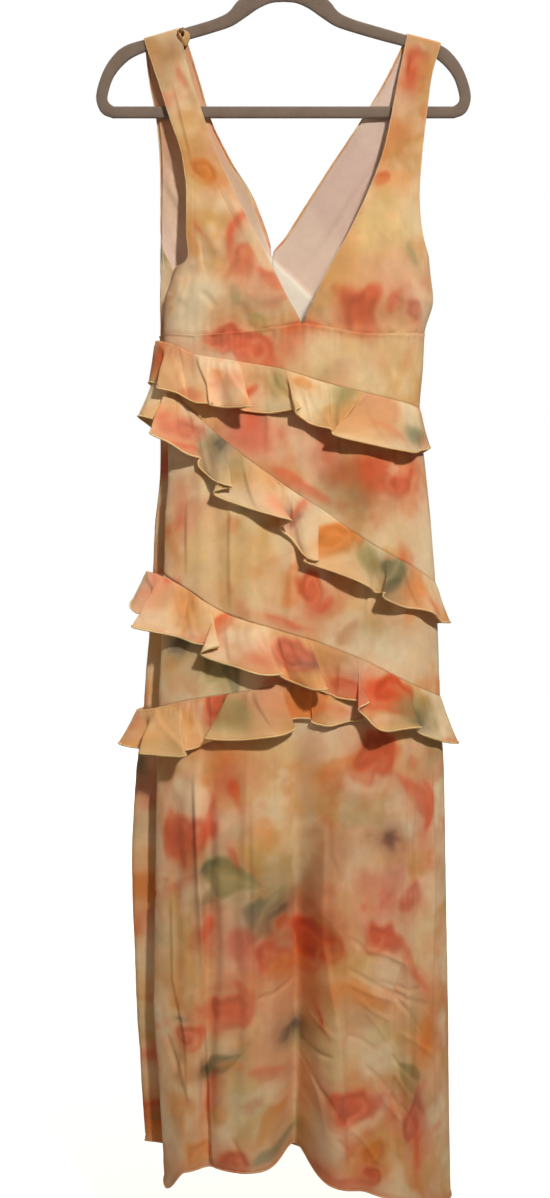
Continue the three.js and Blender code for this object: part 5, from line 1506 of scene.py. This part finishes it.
def hanger_piece():
    """Slim hanger: a flat oval section, a circle with its sine and cosine drawn to a power, carried
    round between its outer and inner outline."""
    bar = np.linspace(1, 0, 40)[1:, None]
    rings = []
    for rows in (HANGER_OUTER, HANGER_INNER):
        arm = spline(rows, 130)
        half = np.concatenate([arm, np.concatenate([bar * arm[-1, 0], 0 * bar + arm[-1, 1]], 1)])
        rings.append(np.concatenate([half, (half * [-1, 1])[-2:0:-1]]))
    outer, inner = rings
    middle, reach = (outer + inner) / 2, (outer - inner) / 2
    turn = np.linspace(0, 2 * np.pi, HANGER_SIDES, endpoint=False)
    wide = np.sign(np.cos(turn)) * np.abs(np.cos(turn)) ** HANGER_FLATNESS
    thick = HANGER_HALF_THICK * np.sign(np.sin(turn)) * np.abs(np.sin(turn)) ** HANGER_FLATNESS
    flat = middle[:, None] + wide[:, None] * reach[:, None]
    points = np.stack([flat[..., 0], 0 * flat[..., 0] + thick, flat[..., 1]], -1)
    points = np.concatenate([points, points[:1]])
    faces = grid_faces(len(points), HANGER_SIDES, False, closed=True)
    faces = faces % ((len(points) - 1) * HANGER_SIDES)
    return mesh_piece("hanger_flocked", points[:-1], faces)


hanger = hanger_piece()
hanger.data.materials.append(FLOCK)
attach(hanger, "root")
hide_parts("hanger")

# Hook: a straight shank, then a bow round its middle.
HOOK_RADIUS = 22
HOOK_MIDDLE = -20
WIRE_RADIUS = 2.0
bow = np.radians([-30, -5, 25, 55, 85, 115, 145, 175, 200])
hook_rows = [(0, -74.7), (0, -65), (1.5, -55), (9, -45)]
hook_rows += list(zip(HOOK_RADIUS * np.cos(bow), HOOK_MIDDLE + HOOK_RADIUS * np.sin(bow)))
wire = spline(hook_rows, 160)
wire = np.stack([wire[:, 0], 0 * wire[:, 0], wire[:, 1]], -1)
hook = tube(
    "hook_wire", wire, WIRE_RADIUS, np.tile([0.0, 1.0, 0.0], (len(wire), 1)),
    np.ones((len(wire), 3)), STEEL, sides=20)
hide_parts("hook")

# Names of the smaller pieces that go with each bodice and lining piece.
WITH_CLOTH = {f"bodice_{name}": [f"neck_{name}", f"armhole_{name}"] for name in BODICE}
WITH_CLOTH["bodice_front_left"].append("strap_loop")
WITH_CLOTH |= {f"lining_{name}": [f"stitches_{name}"] for name in ("back_left", "back_right")}

# Scene: pale floor, soft light and the camera.
FLOOR_Z = -1640
FLOOR_REACH = 9000
corners = [(-1, -1), (1, -1), (1, 1), (-1, 1)]
floor = mesh_piece(
    "floor", [(x * FLOOR_REACH, y * FLOOR_REACH, FLOOR_Z) for x, y in corners], [(0, 1, 2, 3)])
floor.data.materials.append(pale_floor("pale_floor"))

AMBIENT = 0.12
AMBIENT_COLOUR = (1.0, 0.8, 0.58, 1)
BACKDROP_COLOUR = (1, 1, 1, 1)
world = bpy.data.worlds.new("studio")
bpy.context.scene.world = world
world.use_nodes = True
tree = world.node_tree
seen = add(tree, "LightPath").outputs["Is Camera Ray"]
strength = scaled(tree, seen, 1 - AMBIENT, AMBIENT)
backdrop = tree.nodes["Background"]
tree.links.new(colour_mix(tree, seen, AMBIENT_COLOUR, BACKDROP_COLOUR), backdrop.inputs["Color"])
tree.links.new(strength, backdrop.inputs["Strength"])


def area_light(name, place, target, size, power, colour, beam=180):
    """Round soft light, in metres, watts and degrees, turned so that it looks at its target."""
    light = bpy.data.lights.new(name, "AREA")
    light.spread = math.radians(beam)
    light.shape = "DISK"
    light.size, light.energy, light.color = size, power, colour
    lamp = bpy.data.objects.new(name, light)
    lamp.location = place
    away = np.array(target) - np.array(place)
    flat = math.hypot(away[0], away[1])
    lamp.rotation_euler = (math.atan2(flat, -away[2]), 0, math.atan2(-away[0], away[1]))
    bpy.context.scene.collection.objects.link(lamp)


area_light("key", (1.25, -3.2, 1.2), (-0.14, 0, -0.7), 0.3, 6.9, (1.0, 0.95, 0.88), 48)
area_light("fill", (-3.4, -3.6, 0.2), (0, 0, -0.8), 2.5, 12, (1.0, 0.9, 0.78))
area_light("behind", (-1.6, 3.6, 1.6), (0, 0, -0.8), 2.0, 85, (1.0, 0.95, 0.88))
area_light("top", (0.3, 0.4, 3.4), (0, 0.4, -1.6), 4.5, 90, (1.0, 0.92, 0.8))

# Camera: level, with the lens that gives the photo's scale at the hanger, in millimetres and pixels.
CAMERA_AWAY = 1500
CAMERA_X, CAMERA_Z = -10.1, -819
SENSOR = 36
PHOTO_HEIGHT = 1198
MM_A_PIXEL = 1.19
camera = bpy.data.cameras.new("camera")
camera.sensor_fit = "VERTICAL"
camera.sensor_height = SENSOR
camera.lens = SENSOR * CAMERA_AWAY / (PHOTO_HEIGHT * MM_A_PIXEL)
viewer = bpy.data.objects.new("camera", camera)
viewer.location = (CAMERA_X * MM, -CAMERA_AWAY * MM, CAMERA_Z * MM)
viewer.rotation_euler = (math.pi / 2, 0, 0)
bpy.context.scene.collection.objects.link(viewer)
bpy.context.scene.camera = viewer
bpy.context.scene.view_settings.view_transform = "Standard"
